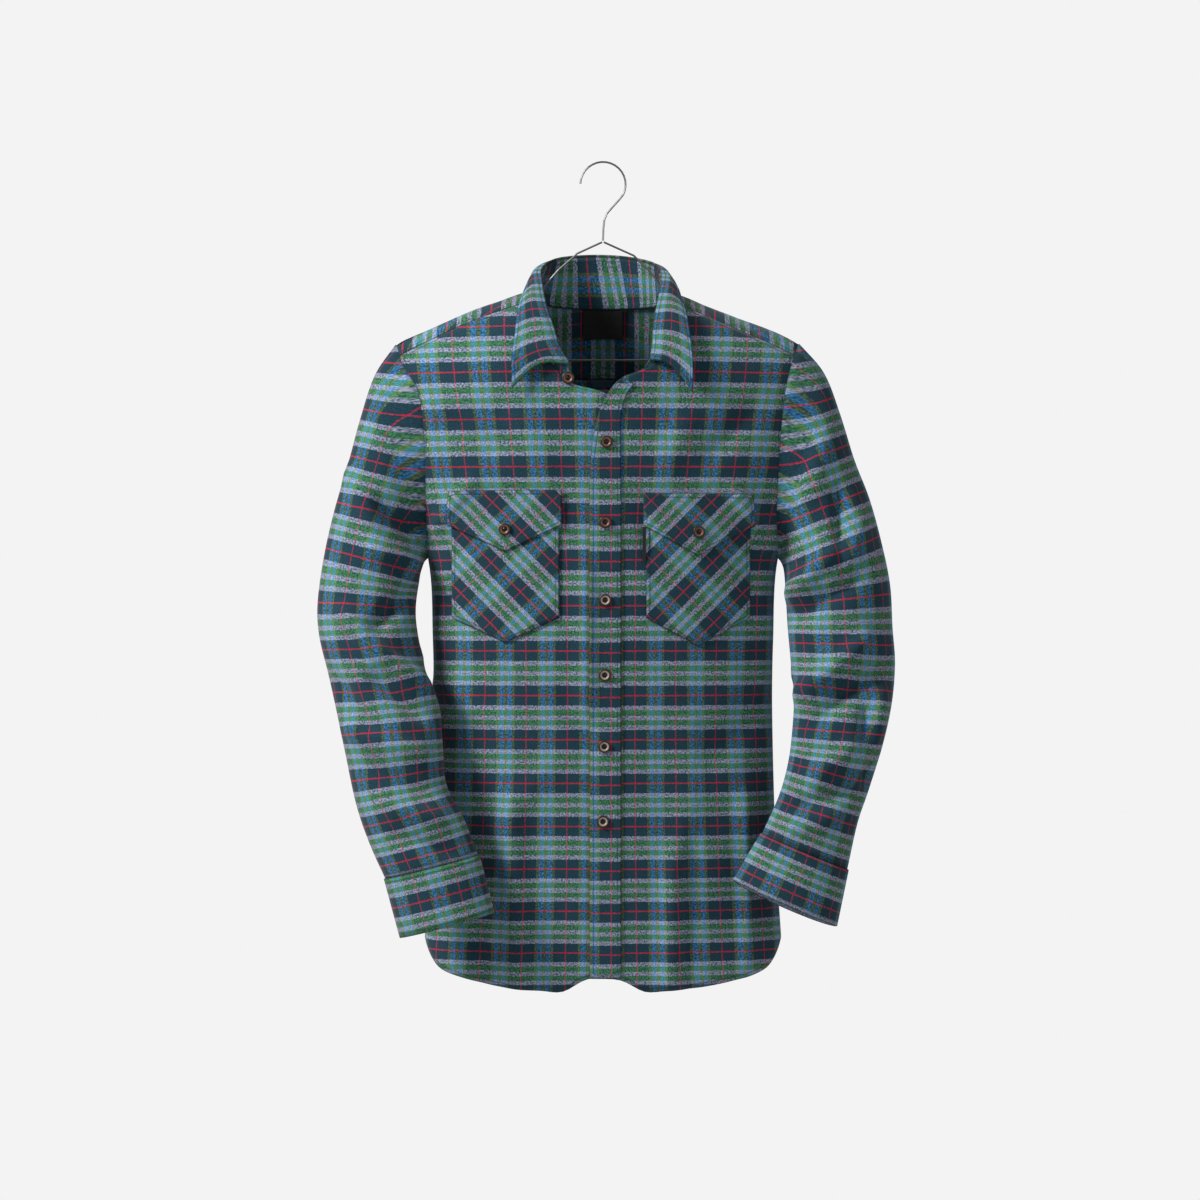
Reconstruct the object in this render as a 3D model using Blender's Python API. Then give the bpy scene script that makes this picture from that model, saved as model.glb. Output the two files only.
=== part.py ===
"""Flannel shirt on a thin wire hanger, in metres, +Z up, front facing -Y, origin inside the hook's top.

Side -1 is at -X (the wearer's right) and side +1 is at +X (the wearer's left).
"""
import math

import bpy
import numpy as np
from mathutils import Vector

CLOTH = 0.0015              # wall of one layer
DOUBLE = 0.0024             # wall of a double layer: yoke, collar, cuffs
SEAM = 0.0004               # gap between pieces at a seam
LAY = 0.0007                # gap under a piece that lies on a panel
ARM_GAP = 0.0012            # draws the sleeve's top back from the armhole
ROUNDNESS = 2.3             # how square a section of the body is: 2 is an ellipse
ROLL = 0.120                # height over which the shoulder rolls from the ridge to full depth
HEM_SIDE = -0.905           # height of the hem at the side seams
HEM_LOW = -0.963            # lowest part of the tail
UNDERARM = -0.462
SHOULDER_TIP = -0.2145
ARM_STEPS = (0, 14, 28, 48, 69, 90, 111, 132, 152, 168, 180)   # degrees round the armhole, from the tip
FRONT_SEAM_STEP = 2         # step where the yoke's front seam meets the armhole
BACK_SEAM_STEP = 3          # step where the yoke's back seam meets the armhole
YOKE_DROP = 0.012           # front yoke seam below the ridge
NECK_HALF = 0.0865
NECK_BACK = -0.163
COLUMNS = 14                # columns across a front
BACK_COLUMNS = 16
SIDE_ROWS = 10              # rows from the underarm to the hem
YOKE_ROWS = 3               # rows from the yoke's back seam to the ridge
BUTTON_RADIUS = 0.0071
BUTTON_THICK = 0.0026
BUTTON_CLEAR = 0.0004       # gap under a button
CUFF_BUTTON_CLEAR = 0.0018  # more, because the cuff is round under it
COLLAR_LIFT = 0.0044        # the leaf's outer face off the front it lies on
LEAF_ROLL = 0.0070          # how far the leaf stands off the stand just below the fold
LABEL_SINK = 0.0022         # the label off the yoke's curved inner face
LABEL_TOP = -0.1665
LABEL_TALL = 0.0345
LABEL_WIDE = 0.048
TAB_TOP = -0.4285
TAB_TALL = 0.040
TAB_WIDE = 0.0040
CUFF_BUTTON_STEP = {-1: 17, 1: 3}          # which point round the cuff carries its button
PLACKET_EDGE = -0.0155
PLACKET_WIDE = 0.0365
UNDERLAP_EDGE = 0.018
WIRE = 0.00115
HOOK_RADIUS = 0.0265
HOOK_MIDDLE = -HOOK_RADIUS + WIRE - 0.001


def table(columns, *rows):
    """Rows of numbers as one array for each named column."""
    return dict(zip(columns.split(), np.array(rows, float).T))


BODY = table("z half_width half_depth",
             (-0.965, 0.212, 0.070), (-0.900, 0.208, 0.071), (-0.840, 0.204, 0.072), (-0.740, 0.200, 0.073),
             (-0.560, 0.199, 0.075), (-0.462, 0.205, 0.075), (-0.420, 0.216, 0.075), (-0.370, 0.229, 0.075),
             (-0.310, 0.239, 0.075), (-0.240, 0.252, 0.075), (-0.120, 0.258, 0.075))
RIDGE = table("x z",
              (-0.262, -0.228), (-0.232, -0.210), (-0.193, -0.1915), (-0.153, -0.1740), (-0.091, -0.1535),
              (0.000, -0.1206), (0.091, -0.1570), (0.157, -0.1825), (0.200, -0.1985), (0.227, -0.2110),
              (0.262, -0.232))
ARMHOLE = table("z right left",
                (-0.462, 0.2050, 0.2045), (-0.420, 0.2066, 0.2025), (-0.370, 0.2070, 0.2040),
                (-0.308, 0.2095, 0.2080), (-0.2675, 0.2170, 0.2130), (-0.238, 0.2350, 0.2205),
                (-0.2145, 0.2420, 0.2290))
NECK = table("right_x right_z left_x left_z",                 # front neck seam, from the ridge to the middle
             (-0.0865, -0.1655, 0.0865, -0.1680), (-0.0800, -0.1960, 0.0800, -0.1960),
             (-0.0660, -0.2280, 0.0690, -0.2250), (-0.0520, -0.2490, 0.0575, -0.2400),
             (-0.0345, -0.2640, 0.0445, -0.2480))
FRONT_EDGE = table("right_x right_z left_x left_z",           # free edge below the neck
                   (0.0023, -0.2745, 0.0220, -0.2570), (0.0160, -0.3000, 0.0060, -0.2740),
                   (0.0180, -0.3400, -0.0065, -0.3020), (0.0180, -0.3850, -0.0135, -0.3420))
FOLDS = table("face x lean top bottom width depth",           # face -1 front, +1 back; lean is x per metre down
              (-1, -0.110, 0.03, -0.60, -0.99, 0.020, 0.0050), (-1, 0.100, -0.02, -0.66, -0.99, 0.018, 0.0045),
              (-1, 0.160, 0.02, -0.74, -0.99, 0.014, -0.0050), (1, -0.120, 0.04, -0.30, -0.99, 0.022, 0.0070),
              (1, -0.050, -0.03, -0.34, -0.99, 0.020, -0.0065), (1, 0.040, 0.02, -0.30, -0.99, 0.020, 0.0060),
              (1, 0.120, -0.05, -0.36, -0.99, 0.022, -0.0070))
COLLAR = table("fold_x fold_y fold_z edge_x edge_y edge_z bow",
               (-0.0368, -0.0725, -0.2456, -0.1025, -0.0775, -0.2720, 0.009),
               (-0.0495, -0.0690, -0.2226, -0.1035, -0.0760, -0.2400, 0.0),
               (-0.0564, -0.0610, -0.2008, -0.1000, -0.0645, -0.2090, 0.0),
               (-0.0656, -0.0470, -0.1720, -0.0970, -0.0500, -0.1800, 0.0),
               (-0.0700, -0.0260, -0.1467, -0.0915, -0.0300, -0.1590, 0.0),
               (-0.0713, 0.0020, -0.1265, -0.0850, 0.0080, -0.1440, 0.0),
               (-0.0560, 0.0320, -0.1125, -0.0700, 0.0450, -0.1560, 0.0),
               (-0.0250, 0.0480, -0.1070, -0.0300, 0.0660, -0.1720, 0.0),
               (0.0100, 0.0500, -0.1068, 0.0100, 0.0690, -0.1740, 0.0),
               (0.0400, 0.0420, -0.1110, 0.0480, 0.0600, -0.1700, 0.0),
               (0.0620, 0.0220, -0.1195, 0.0740, 0.0350, -0.1560, 0.0),
               (0.0680, -0.0040, -0.1330, 0.0850, 0.0020, -0.1490, 0.0),
               (0.0665, -0.0300, -0.1500, 0.0900, -0.0300, -0.1660, 0.0),
               (0.0615, -0.0480, -0.1750, 0.0945, -0.0500, -0.1830, 0.0),
               (0.0575, -0.0610, -0.2000, 0.0985, -0.0640, -0.2080, 0.0),
               (0.0560, -0.0690, -0.2220, 0.1015, -0.0760, -0.2400, 0.0),
               (0.0530, -0.0725, -0.2400, 0.1015, -0.0775, -0.2780, 0.006))
SLEEVE_RIGHT = table("outer_x outer_z inner_x inner_z middle_y half_depth",
                     (-0.2657, -0.2502, -0.2070, -0.4640, -0.002, 0.044),
                     (-0.2829, -0.3031, -0.2090, -0.4665, -0.006, 0.047),
                     (-0.2967, -0.3560, -0.2110, -0.4705, -0.010, 0.049),
                     (-0.3117, -0.4078, -0.2130, -0.4770, -0.015, 0.050),
                     (-0.3232, -0.4607, -0.2150, -0.4900, -0.021, 0.049),
                     (-0.3300, -0.5147, -0.2185, -0.5205, -0.030, 0.047),
                     (-0.3278, -0.5527, -0.2162, -0.5492, -0.037, 0.045),
                     (-0.3163, -0.5975, -0.2060, -0.5952, -0.048, 0.043),
                     (-0.3048, -0.6447, -0.1898, -0.6344, -0.060, 0.041),
                     (-0.2956, -0.6849, -0.1852, -0.6792, -0.070, 0.038),
                     (-0.2818, -0.7459, -0.1806, -0.7240, -0.080, 0.036),
                     (-0.2657, -0.7907, -0.1599, -0.7631, -0.089, 0.033),
                     (-0.2473, -0.8298, -0.1438, -0.8034, -0.097, 0.029),
                     (-0.2289, -0.8965, -0.1265, -0.8690, -0.101, 0.030))
SLEEVE_LEFT = table("outer_x outer_z inner_x inner_z middle_y half_depth",
                    (0.2576, -0.2479, 0.2065, -0.4640, -0.002, 0.044),
                    (0.2760, -0.2962, 0.2085, -0.4670, -0.006, 0.047),
                    (0.2921, -0.3491, 0.2105, -0.4715, -0.010, 0.049),
                    (0.3094, -0.3951, 0.2120, -0.4780, -0.015, 0.050),
                    (0.3232, -0.4469, 0.2130, -0.4915, -0.020, 0.049),
                    (0.3324, -0.4952, 0.2140, -0.5135, -0.026, 0.047),
                    (0.3347, -0.5446, 0.2155, -0.5446, -0.032, 0.045),
                    (0.3370, -0.5860, 0.2185, -0.5814, -0.039, 0.043),
                    (0.3324, -0.6320, 0.2220, -0.6225, -0.047, 0.041),
                    (0.3209, -0.6803, 0.2185, -0.6720, -0.056, 0.039),
                    (0.3048, -0.7298, 0.2130, -0.7050, -0.065, 0.037),
                    (0.2910, -0.7677, 0.2024, -0.7390, -0.074, 0.034),
                    (0.2783, -0.8206, 0.1829, -0.7804, -0.085, 0.030),
                    (0.2645, -0.8840, 0.1507, -0.8333, -0.093, 0.031))
CUFF_BACK_DROP = {-1: 0.0, 1: 0.008}       # how much lower the back of the cuff's mouth hangs
POCKET = table("side inner outer top bottom point flap_top flap_low flap_point",
               (-1, 0.0500, 0.1740, -0.402, -0.5330, -0.5610, -0.386, -0.4260, -0.4560),
               (1, 0.0495, 0.1690, -0.402, -0.5330, -0.5650, -0.390, -0.4270, -0.4610))
FLAP_OVERHANG = 0.003
BUTTONS = table("x z", (0.0040, -0.3310), (0.0025, -0.4230), (0.0025, -0.5125), (0.0020, -0.5985),
                (0.0015, -0.6805), (0.0000, -0.7665))
HANGER_RIGHT = table("x z", (-0.0009, -0.0937), (-0.030, -0.1070), (-0.052, -0.1260), (-0.072, -0.1490),
                     (-0.084, -0.1605), (-0.100, -0.1655), (-0.130, -0.1745), (-0.170, -0.1905),
                     (-0.205, -0.2060), (-0.221, -0.2150), (-0.2235, -0.2230), (-0.217, -0.2310))
HANGER_LEFT = table("x z", (0.0009, -0.0937), (0.036, -0.1095), (0.056, -0.1290), (0.073, -0.1520),
                    (0.084, -0.1640), (0.100, -0.1690), (0.130, -0.1800), (0.170, -0.1960),
                    (0.195, -0.2060), (0.211, -0.2145), (0.2135, -0.2230), (0.207, -0.2310))
BAR_HEIGHT = -0.2318
BAR_END = 0.0014            # bar's end short of the arm's end
ARM_CLEAR = 0.0010          # the arm under the yoke's inner face

FLANNEL = ((0.10, 0.26, 0.25), 0.90, 0.0)
FLANNEL_DARK = ((0.03, 0.12, 0.16), 0.90, 0.0)
BUTTON_HORN = ((0.12, 0.06, 0.04), 0.35, 0.0)
BLACK_TAPE = ((0.01, 0.01, 0.012), 0.60, 0.0)
STEEL = ((0.35, 0.33, 0.31), 0.30, 1.0)


def smooth(rows, key, at, column):
    """A smooth curve through a table's column, read at one value of its key column."""
    keys, values = rows[key], rows[column]
    if keys[0] > keys[-1]:
        keys, values = keys[::-1], values[::-1]
    slopes = np.gradient(values, keys)
    low = int(np.clip(np.searchsorted(keys, at) - 1, 0, len(keys) - 2))
    span = keys[low + 1] - keys[low]
    part = (min(max(at, keys[0]), keys[-1]) - keys[low]) / span
    square, cube = part ** 2, part ** 3
    return ((2 * cube - 3 * square + 1) * values[low] + (cube - 2 * square + part) * span * slopes[low]
            + (3 * square - 2 * cube) * values[low + 1] + (cube - square) * span * slopes[low + 1])


def ramp(low, high, value):
    part = min(max((value - low) / (high - low), 0.0), 1.0)
    return part * part * (3 - 2 * part)


def turn_at(x, z):
    """The angle round the body, 0 at the front middle and a right angle at the side, at a place on the front."""
    share = min(abs(x) / smooth(BODY, "z", z, "half_width"), 1.0)
    return math.copysign(math.asin(share ** (ROUNDNESS / 2)), x)


def body_point(turn, z):
    """A point of the body's outer face; beyond a right angle it is on the back."""
    sine, cosine = math.sin(turn), math.cos(turn)
    x = smooth(BODY, "z", z, "half_width") * math.copysign(abs(sine) ** (2 / ROUNDNESS), sine)
    drop = (smooth(RIDGE, "x", x, "z") - z) / ROLL
    roll = 1.0 if drop >= 1 else math.sqrt(max(0.0, 1 - (1 - drop) ** 2))
    face = -1 if cosine > 0 else 1
    depth = smooth(BODY, "z", z, "half_depth") * abs(cosine) ** (2 / ROUNDNESS) * roll
    for row in zip(*(FOLDS[name] for name in ("face", "x", "lean", "top", "bottom", "width", "depth"))):
        fold_face, fold_x, lean, top, bottom, width, amount = row
        if fold_face == face and z < top:
            across = (x - fold_x - lean * (top - z)) / width
            depth += amount * math.exp(-across ** 2) * ramp(0, 0.12, top - z) * abs(cosine)
    return Vector((x, face * depth, z))


def body_normal(turn, z):
    step = 0.03
    across = body_point(turn + step, z) - body_point(turn - step, z)
    up = body_point(turn, z + 0.002) - body_point(turn, z - 0.002)
    return across.cross(up).normalized()


def armhole_spot(side, step_degrees):
    """Turn and height on the armhole; negative degrees are on the back."""
    middle, half = (SHOULDER_TIP + UNDERARM) / 2, (SHOULDER_TIP - UNDERARM) / 2
    z = middle + half * math.cos(math.radians(step_degrees))
    x = side * smooth(ARMHOLE, "z", z, "left" if side > 0 else "right")
    turn = turn_at(x, z)
    if abs(step_degrees) == 180:
        turn = side * math.pi / 2
    return (turn if step_degrees >= 0 else side * math.pi - turn, z)


def hem_height(turn, z_guess=-0.95):
    """The tail hem, lower in each half and rising to the side seams and to the middle."""
    x = abs(body_point(turn, z_guess).x)
    side_rise = (HEM_SIDE - HEM_LOW - 0.031) * ramp(math.radians(58), math.radians(90), abs(turn))
    return HEM_LOW + 0.031 * (x / 0.21) ** 3 + side_rise + 0.016 * (1 - ramp(0.012, 0.045, x))


def material(name, finish):
    colour, roughness, metallic = finish
    made = bpy.data.materials.new(name)
    made.use_nodes = True
    shader = made.node_tree.nodes["Principled BSDF"]
    shader.inputs["Base Color"].default_value = (*colour, 1)
    shader.inputs["Roughness"].default_value = roughness
    shader.inputs["Metallic"].default_value = metallic
    return made


def place(name, mesh_or_curve, finish):
    made = bpy.data.objects.new(name, mesh_or_curve)
    mesh_or_curve.materials.append(material(name, finish))
    bpy.data.collections["flannel_shirt"].objects.link(made)
    return made


def grid_quads(rows, columns, closed=False):
    """The four-cornered faces of a grid of points, row after row; a closed one is a tube."""
    quads = []
    for row in range(rows - 1):
        for column in range(columns if closed else columns - 1):
            beside = (column + 1) % columns
            quads.append((row * columns + column, row * columns + beside,
                          (row + 1) * columns + beside, (row + 1) * columns + column))
    return quads


def border_edges(quads):
    """Edges of one face only, in that face's direction."""
    edges = {}
    for quad in quads:
        for start, end in zip(quad, quad[1:] + quad[:1]):
            edges[(start, end)] = True
    return [edge for edge in edges if (edge[1], edge[0]) not in edges]


def drawn_back(points, quads, gap=SEAM):
    """The points with the open borders drawn back by half a seam's gap."""
    border = {spot for edge in border_edges(quads) for spot in edge}
    inside = {spot: set() for spot in border}
    for quad in quads:
        for start, end in zip(quad, quad[1:] + quad[:1]):
            for here, there in ((start, end), (end, start)):
                if here in border and there not in border:
                    inside[here].add(there)
    for quad in quads:
        corner = [spot for spot in quad if spot in border and not inside[spot]]
        for spot in corner:
            inside[spot].add(quad[(quad.index(spot) + 2) % 4])
    moved = points.copy()
    for spot, others in inside.items():
        towards = np.mean([points[other] - points[spot] for other in others], axis=0)
        moved[spot] += towards / np.linalg.norm(towards) * gap * 0.6
    return moved


def wall_of(name, outer, inner, quads, finish):
    """A closed wall between an outer and an inner set of points, its faces turned to the outer side."""
    layer = len(outer)
    spots = np.array(quads)
    facing = np.cross(outer[spots[:, 2]] - outer[spots[:, 0]], outer[spots[:, 3]] - outer[spots[:, 1]])
    if np.sum(facing * (outer - inner)[spots[:, 0]]) < 0:
        quads = [tuple(quad[::-1]) for quad in quads]
    faces = [tuple(quad) for quad in quads]
    faces += [tuple(spot + layer for spot in reversed(quad)) for quad in quads]
    faces += [(end, start, start + layer, end + layer) for start, end in border_edges(quads)]
    mesh = bpy.data.meshes.new(name)
    mesh.from_pydata([tuple(p) for p in np.concatenate([outer, inner])], [], faces)
    mesh.update()
    mesh.shade_smooth()
    return place(name, mesh, finish)


def on_body(name, spots, finish, out=0.0, wall=CLOTH):
    """A wall over a grid of (turn, height) spots; its outer face stands `out` proud of the body."""
    rows, columns = len(spots), len(spots[0])
    points = np.array([tuple(body_point(*spot)) for row in spots for spot in row])
    normals = np.array([tuple(body_normal(*spot)) for row in spots for spot in row])
    quads = grid_quads(rows, columns)
    points = drawn_back(points, quads)
    outer = points + normals * (out(points) if callable(out) else out)
    return wall_of(name, outer, outer - normals * wall, quads, finish)


def overlap_lift(points):
    """How far the overlapping front stands off the other one, fading out to the side."""
    x = points[..., 0:1]
    part = np.clip((x - 0.030) / 0.040, 0, 1)
    return (CLOTH + LAY) * (1 - part * part * (3 - 2 * part))


def ruled_row(outer_spot, inner_spot, count, power=1.0):
    parts = [(k / count) ** power for k in range(count + 1)]
    return [tuple(o + (i - o) * part for o, i in zip(outer_spot, inner_spot)) for part in parts]


def front(side, name):
    word = "left" if side > 0 else "right"
    steps = ARM_STEPS[FRONT_SEAM_STEP:]
    inner = list(zip(NECK[word + "_x"], NECK[word + "_z"])) + list(zip(FRONT_EDGE[word + "_x"],
                                                                        FRONT_EDGE[word + "_z"]))
    outer = [armhole_spot(side, step) for step in steps]
    edge_x = PLACKET_EDGE if side > 0 else UNDERLAP_EDGE
    start = inner[-1][1]
    for k in range(1, SIDE_ROWS + 1):
        part = k / SIDE_ROWS
        outer.append((side * math.pi / 2, UNDERARM + (HEM_SIDE - UNDERARM) * part))
        inner.append((edge_x, start + (hem_height(0) - start) * part))
    rows = []
    for number, (out_spot, in_spot) in enumerate(zip(outer, inner)):
        in_turn = (turn_at(*in_spot), in_spot[1])
        row = ruled_row(out_spot, in_turn, COLUMNS)
        down = ramp(0, 1, (number - len(steps) + 1) / SIDE_ROWS) if number >= len(steps) else 0.0
        if number == 0:
            row = [seam_spot(side, k / COLUMNS, in_spot) for k in range(COLUMNS + 1)]
        fixed = []
        for k, (turn, z) in enumerate(row):
            part = k / COLUMNS
            straight = HEM_SIDE + (hem_height(0) - HEM_SIDE) * part
            fixed.append((turn, z + down * (hem_height(turn) - straight)))
        rows.append(fixed)
    rows = rows[::-1]
    if side > 0:
        rows = [row[::-1] for row in rows]
    return on_body(name, rows, FLANNEL, overlap_lift if side > 0 else 0.0)


def seam_spot(side, part, neck_spot):
    """The yoke's front seam, from the armhole to the neck."""
    out_turn, out_z = armhole_spot(side, ARM_STEPS[FRONT_SEAM_STEP])
    out_x = body_point(out_turn, out_z).x
    x = out_x + (neck_spot[0] - out_x) * part
    drop_out = smooth(RIDGE, "x", out_x, "z") - out_z
    drop_in = smooth(RIDGE, "x", neck_spot[0], "z") - neck_spot[1]
    z = smooth(RIDGE, "x", x, "z") - (drop_out + (drop_in - drop_out) * part)
    return turn_at(x, z), z


def back_seam():
    """The yoke's back seam, across the back from -X to +X."""
    spots = []
    right = armhole_spot(-1, -ARM_STEPS[BACK_SEAM_STEP])
    left = armhole_spot(1, -ARM_STEPS[BACK_SEAM_STEP])
    for k in range(BACK_COLUMNS + 1):
        part = k / BACK_COLUMNS
        turn = (right[0] % (2 * math.pi)) + (left[0] - right[0] % (2 * math.pi)) * part
        z = right[1] + (left[1] - right[1]) * part + 0.006 * math.sin(math.pi * part)
        spots.append((turn, z))
    return spots


def back():
    rows = [back_seam()]
    for step in ARM_STEPS[BACK_SEAM_STEP + 1:]:
        right, left = armhole_spot(-1, -step), armhole_spot(1, -step)
        start = right[0] % (2 * math.pi)
        rows.append([(start + (left[0] - start) * k / BACK_COLUMNS, right[1]) for k in range(BACK_COLUMNS + 1)])
    start, end = 1.5 * math.pi, 0.5 * math.pi
    for row in range(1, SIDE_ROWS + 1):
        part = row / SIDE_ROWS
        spots = []
        for k in range(BACK_COLUMNS + 1):
            turn = start + (end - start) * k / BACK_COLUMNS
            hem = hem_height(math.pi - turn) + 0.004
            side_hem = HEM_SIDE
            z = UNDERARM + (side_hem - UNDERARM) * part + ramp(0, 1, part) * (hem - side_hem)
            if k in (0, BACK_COLUMNS):
                z = UNDERARM + (side_hem - UNDERARM) * part
            spots.append((turn, z))
        rows.append(spots)
    rows = [row[::-1] for row in rows[::-1]]
    return on_body("back", rows, FLANNEL)


def neck_back_z(x):
    side_z = smooth(RIDGE, "x", math.copysign(NECK_HALF, x), "z")
    return NECK_BACK + (side_z - NECK_BACK) * (abs(x) / NECK_HALF) ** 4


def yoke_tops():
    """Where each yoke column meets the ridge or the neck, from -X to +X."""
    tops = []
    for k in range(BACK_COLUMNS + 1):
        across = 2 * k / BACK_COLUMNS - 1
        side = 1 if across > 0 else -1
        if abs(across) <= 0.5:
            x = across * 2 * NECK_HALF
            tops.append((x, neck_back_z(x)))
        else:
            tip_x = abs(body_point(*armhole_spot(side, 0)).x)
            x = side * (NECK_HALF + (tip_x - NECK_HALF) * (abs(across) - 0.5) * 2)
            tops.append((x, smooth(RIDGE, "x", x, "z")))
    return tops


def rolled_spot(x, angle, extra, face):
    """A spot at an angle down the shoulder's roll; face is -1 in front and +1 behind."""
    z = smooth(RIDGE, "x", x, "z") - ROLL * (1 - math.cos(angle)) - extra
    turn = turn_at(x, z)
    return (turn if face < 0 else math.pi - turn), z


def roll_angle(x, z):
    """How far down the shoulder's roll a height is, and what is left below the roll."""
    drop = max(smooth(RIDGE, "x", x, "z") - z, 0.0)
    return math.acos(1 - min(drop, ROLL) / ROLL), max(drop - ROLL, 0.0)


def yoke():
    """The back of the yoke up to the ridge and the neck, and a strip over each shoulder to its front seam."""
    tops, seam = yoke_tops(), back_seam()
    spots = []
    for row in range(YOKE_ROWS + 1):
        part = row / YOKE_ROWS
        for k, (top_x, top_z) in enumerate(tops):
            low = body_point(*seam[k])
            x = low.x + (top_x - low.x) * part
            (low_angle, extra), (top_angle, _) = roll_angle(low.x, low.z), roll_angle(top_x, top_z)
            angle = low_angle + (top_angle - low_angle) * part
            if k in (0, BACK_COLUMNS):
                spots.append(armhole_spot(-1 if k == 0 else 1, -ARM_STEPS[BACK_SEAM_STEP - row]
                                          if row < BACK_SEAM_STEP else -0.001))
            else:
                spots.append(rolled_spot(x, angle, extra * (1 - part), 1))
    quads = [quad[::-1] for quad in grid_quads(YOKE_ROWS + 1, BACK_COLUMNS + 1)]
    top_row = YOKE_ROWS * (BACK_COLUMNS + 1)
    quarter = BACK_COLUMNS // 4
    for side, columns in ((-1, range(quarter + 1)), (1, range(BACK_COLUMNS - quarter, BACK_COLUMNS + 1))):
        word = "left" if side > 0 else "right"
        neck_spot = (NECK[word + "_x"][0], NECK[word + "_z"][0])
        above = [top_row + k for k in columns]
        for row in range(1, FRONT_SEAM_STEP + 1):
            line = []
            for k in columns:
                outward = (quarter - k) / quarter if side < 0 else (k - BACK_COLUMNS + quarter) / quarter
                seam_x = body_point(*seam_spot(side, 1 - outward, neck_spot)).x
                angle, _ = roll_angle(seam_x, seam_spot(side, 1 - outward, neck_spot)[1])
                part = row / FRONT_SEAM_STEP
                x = tops[k][0] + (seam_x - tops[k][0]) * part
                line.append(len(spots))
                spots.append(armhole_spot(side, ARM_STEPS[row]) if outward == 1
                             else rolled_spot(x, angle * part, 0.0, -1))
            quads += [(above[i + 1], above[i], line[i], line[i + 1]) for i in range(quarter)]
            above = line
    points = drawn_back(np.array([tuple(body_point(*spot)) for spot in spots]), quads)
    normals = np.array([tuple(body_normal(*spot)) for spot in spots])
    return wall_of("yoke", points, points - normals * DOUBLE, quads, FLANNEL_DARK)


def ring(rows, row, degrees, back_drop=0.0):
    """A point of one sleeve section: 0 at the outer edge, a right angle in front, 180 at the inner edge."""
    read = {name: values[row] for name, values in rows.items()}
    angle = math.radians(degrees)
    outer = Vector((read["outer_x"], read["middle_y"], read["outer_z"]))
    inner = Vector((read["inner_x"], read["middle_y"], read["inner_z"]))
    point = (outer + inner) / 2 + (outer - inner) / 2 * math.cos(angle)
    point.y -= read["half_depth"] * math.sin(angle)
    point.z -= back_drop * max(0.0, -math.sin(angle))
    return point


def tube_normals(points, rows, columns):
    """Outward normals of a tube's grid of points."""
    grid = points.reshape(rows, columns, 3)
    around = np.roll(grid, -1, axis=1) - np.roll(grid, 1, axis=1)
    along = np.gradient(grid, axis=0)
    normals = np.cross(around, along)
    normals /= np.linalg.norm(normals, axis=-1, keepdims=True)
    return normals.reshape(-1, 3)


def sleeve(side, name, cuff_name):
    """The sleeve from the armhole to the cuff, and the cuff."""
    rows = SLEEVE_LEFT if side > 0 else SLEEVE_RIGHT
    steps = list(ARM_STEPS) + [-step for step in ARM_STEPS[-2:0:-1]]
    count, last = len(steps), len(rows["outer_x"]) - 1
    hole = [armhole_spot(side, step) for step in steps]
    points = [tuple(body_point(*spot)) for spot in hole]
    points += [tuple(ring(rows, row, step)) for row in range(last) for step in steps]
    points = np.array(points)
    normals = tube_normals(points, last + 1, count)
    if side > 0:
        normals = -normals
    points[:count] += np.array([tuple(body_normal(*spot)) for spot in hole]) * SEAM * 2.4
    quads = grid_quads(last + 1, count, closed=True)
    if side > 0:
        quads = [quad[::-1] for quad in quads]
    drawn = drawn_back(points, quads, ARM_GAP)
    wall_of(name, drawn, drawn - normals * CLOTH, quads, FLANNEL)
    cuff_points = [points[-count:].tolist()]
    for part in (0.5, 1.0):
        line = []
        for step in steps:
            high, low = ring(rows, last - 1, step), ring(rows, last, step, CUFF_BACK_DROP[side])
            line.append(tuple(high + (low - high) * part))
        cuff_points.append(line)
    cuff_points = np.array(cuff_points).reshape(-1, 3)
    cuff_normals = tube_normals(cuff_points, 3, count) * (-1 if side > 0 else 1)
    cuff_normals[:count] = normals[-count:]
    cuff_quads = grid_quads(3, count, closed=True)
    if side > 0:
        cuff_quads = [quad[::-1] for quad in cuff_quads]
    drawn = drawn_back(cuff_points, cuff_quads)
    wall_of(cuff_name, drawn, drawn - cuff_normals * DOUBLE, cuff_quads, FLANNEL_DARK)
    return cuff_points, cuff_normals, count


def neck_stations():
    """Turn and height of each collar station on the neck seam, from the right front round the back."""
    right = [(turn_at(x, z), z) for x, z in zip(NECK["right_x"][::-1], NECK["right_z"][::-1])]
    left = [(turn_at(x, z), z) for x, z in zip(NECK["left_x"], NECK["left_z"])]
    behind = []
    for k in range(4, 13, 1):
        x, z = yoke_tops()[k]
        if k in (4, 12):
            z -= 0.0002
        behind.append((math.pi - turn_at(x, z), z))
    picked = [behind[0], behind[1], behind[3], behind[5], behind[6], behind[7], behind[8]]
    return right + picked + left


def collar_frame():
    rows = [Vector((x, y, z)) for x, y, z in zip(COLLAR["fold_x"], COLLAR["fold_y"], COLLAR["fold_z"])]
    edges = [Vector((x, y, z)) for x, y, z in zip(COLLAR["edge_x"], COLLAR["edge_y"], COLLAR["edge_z"])]
    return rows, edges


def sheet_normals(grid, towards):
    """Normals of an open grid of points, turned to point away from a point inside."""
    across, along = np.gradient(grid, axis=1), np.gradient(grid, axis=0)
    normals = np.cross(across, along)
    normals /= np.linalg.norm(normals, axis=-1, keepdims=True)
    if np.mean(np.einsum("...i,...i", normals, grid - towards)) < 0:
        normals = -normals
    return normals


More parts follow.
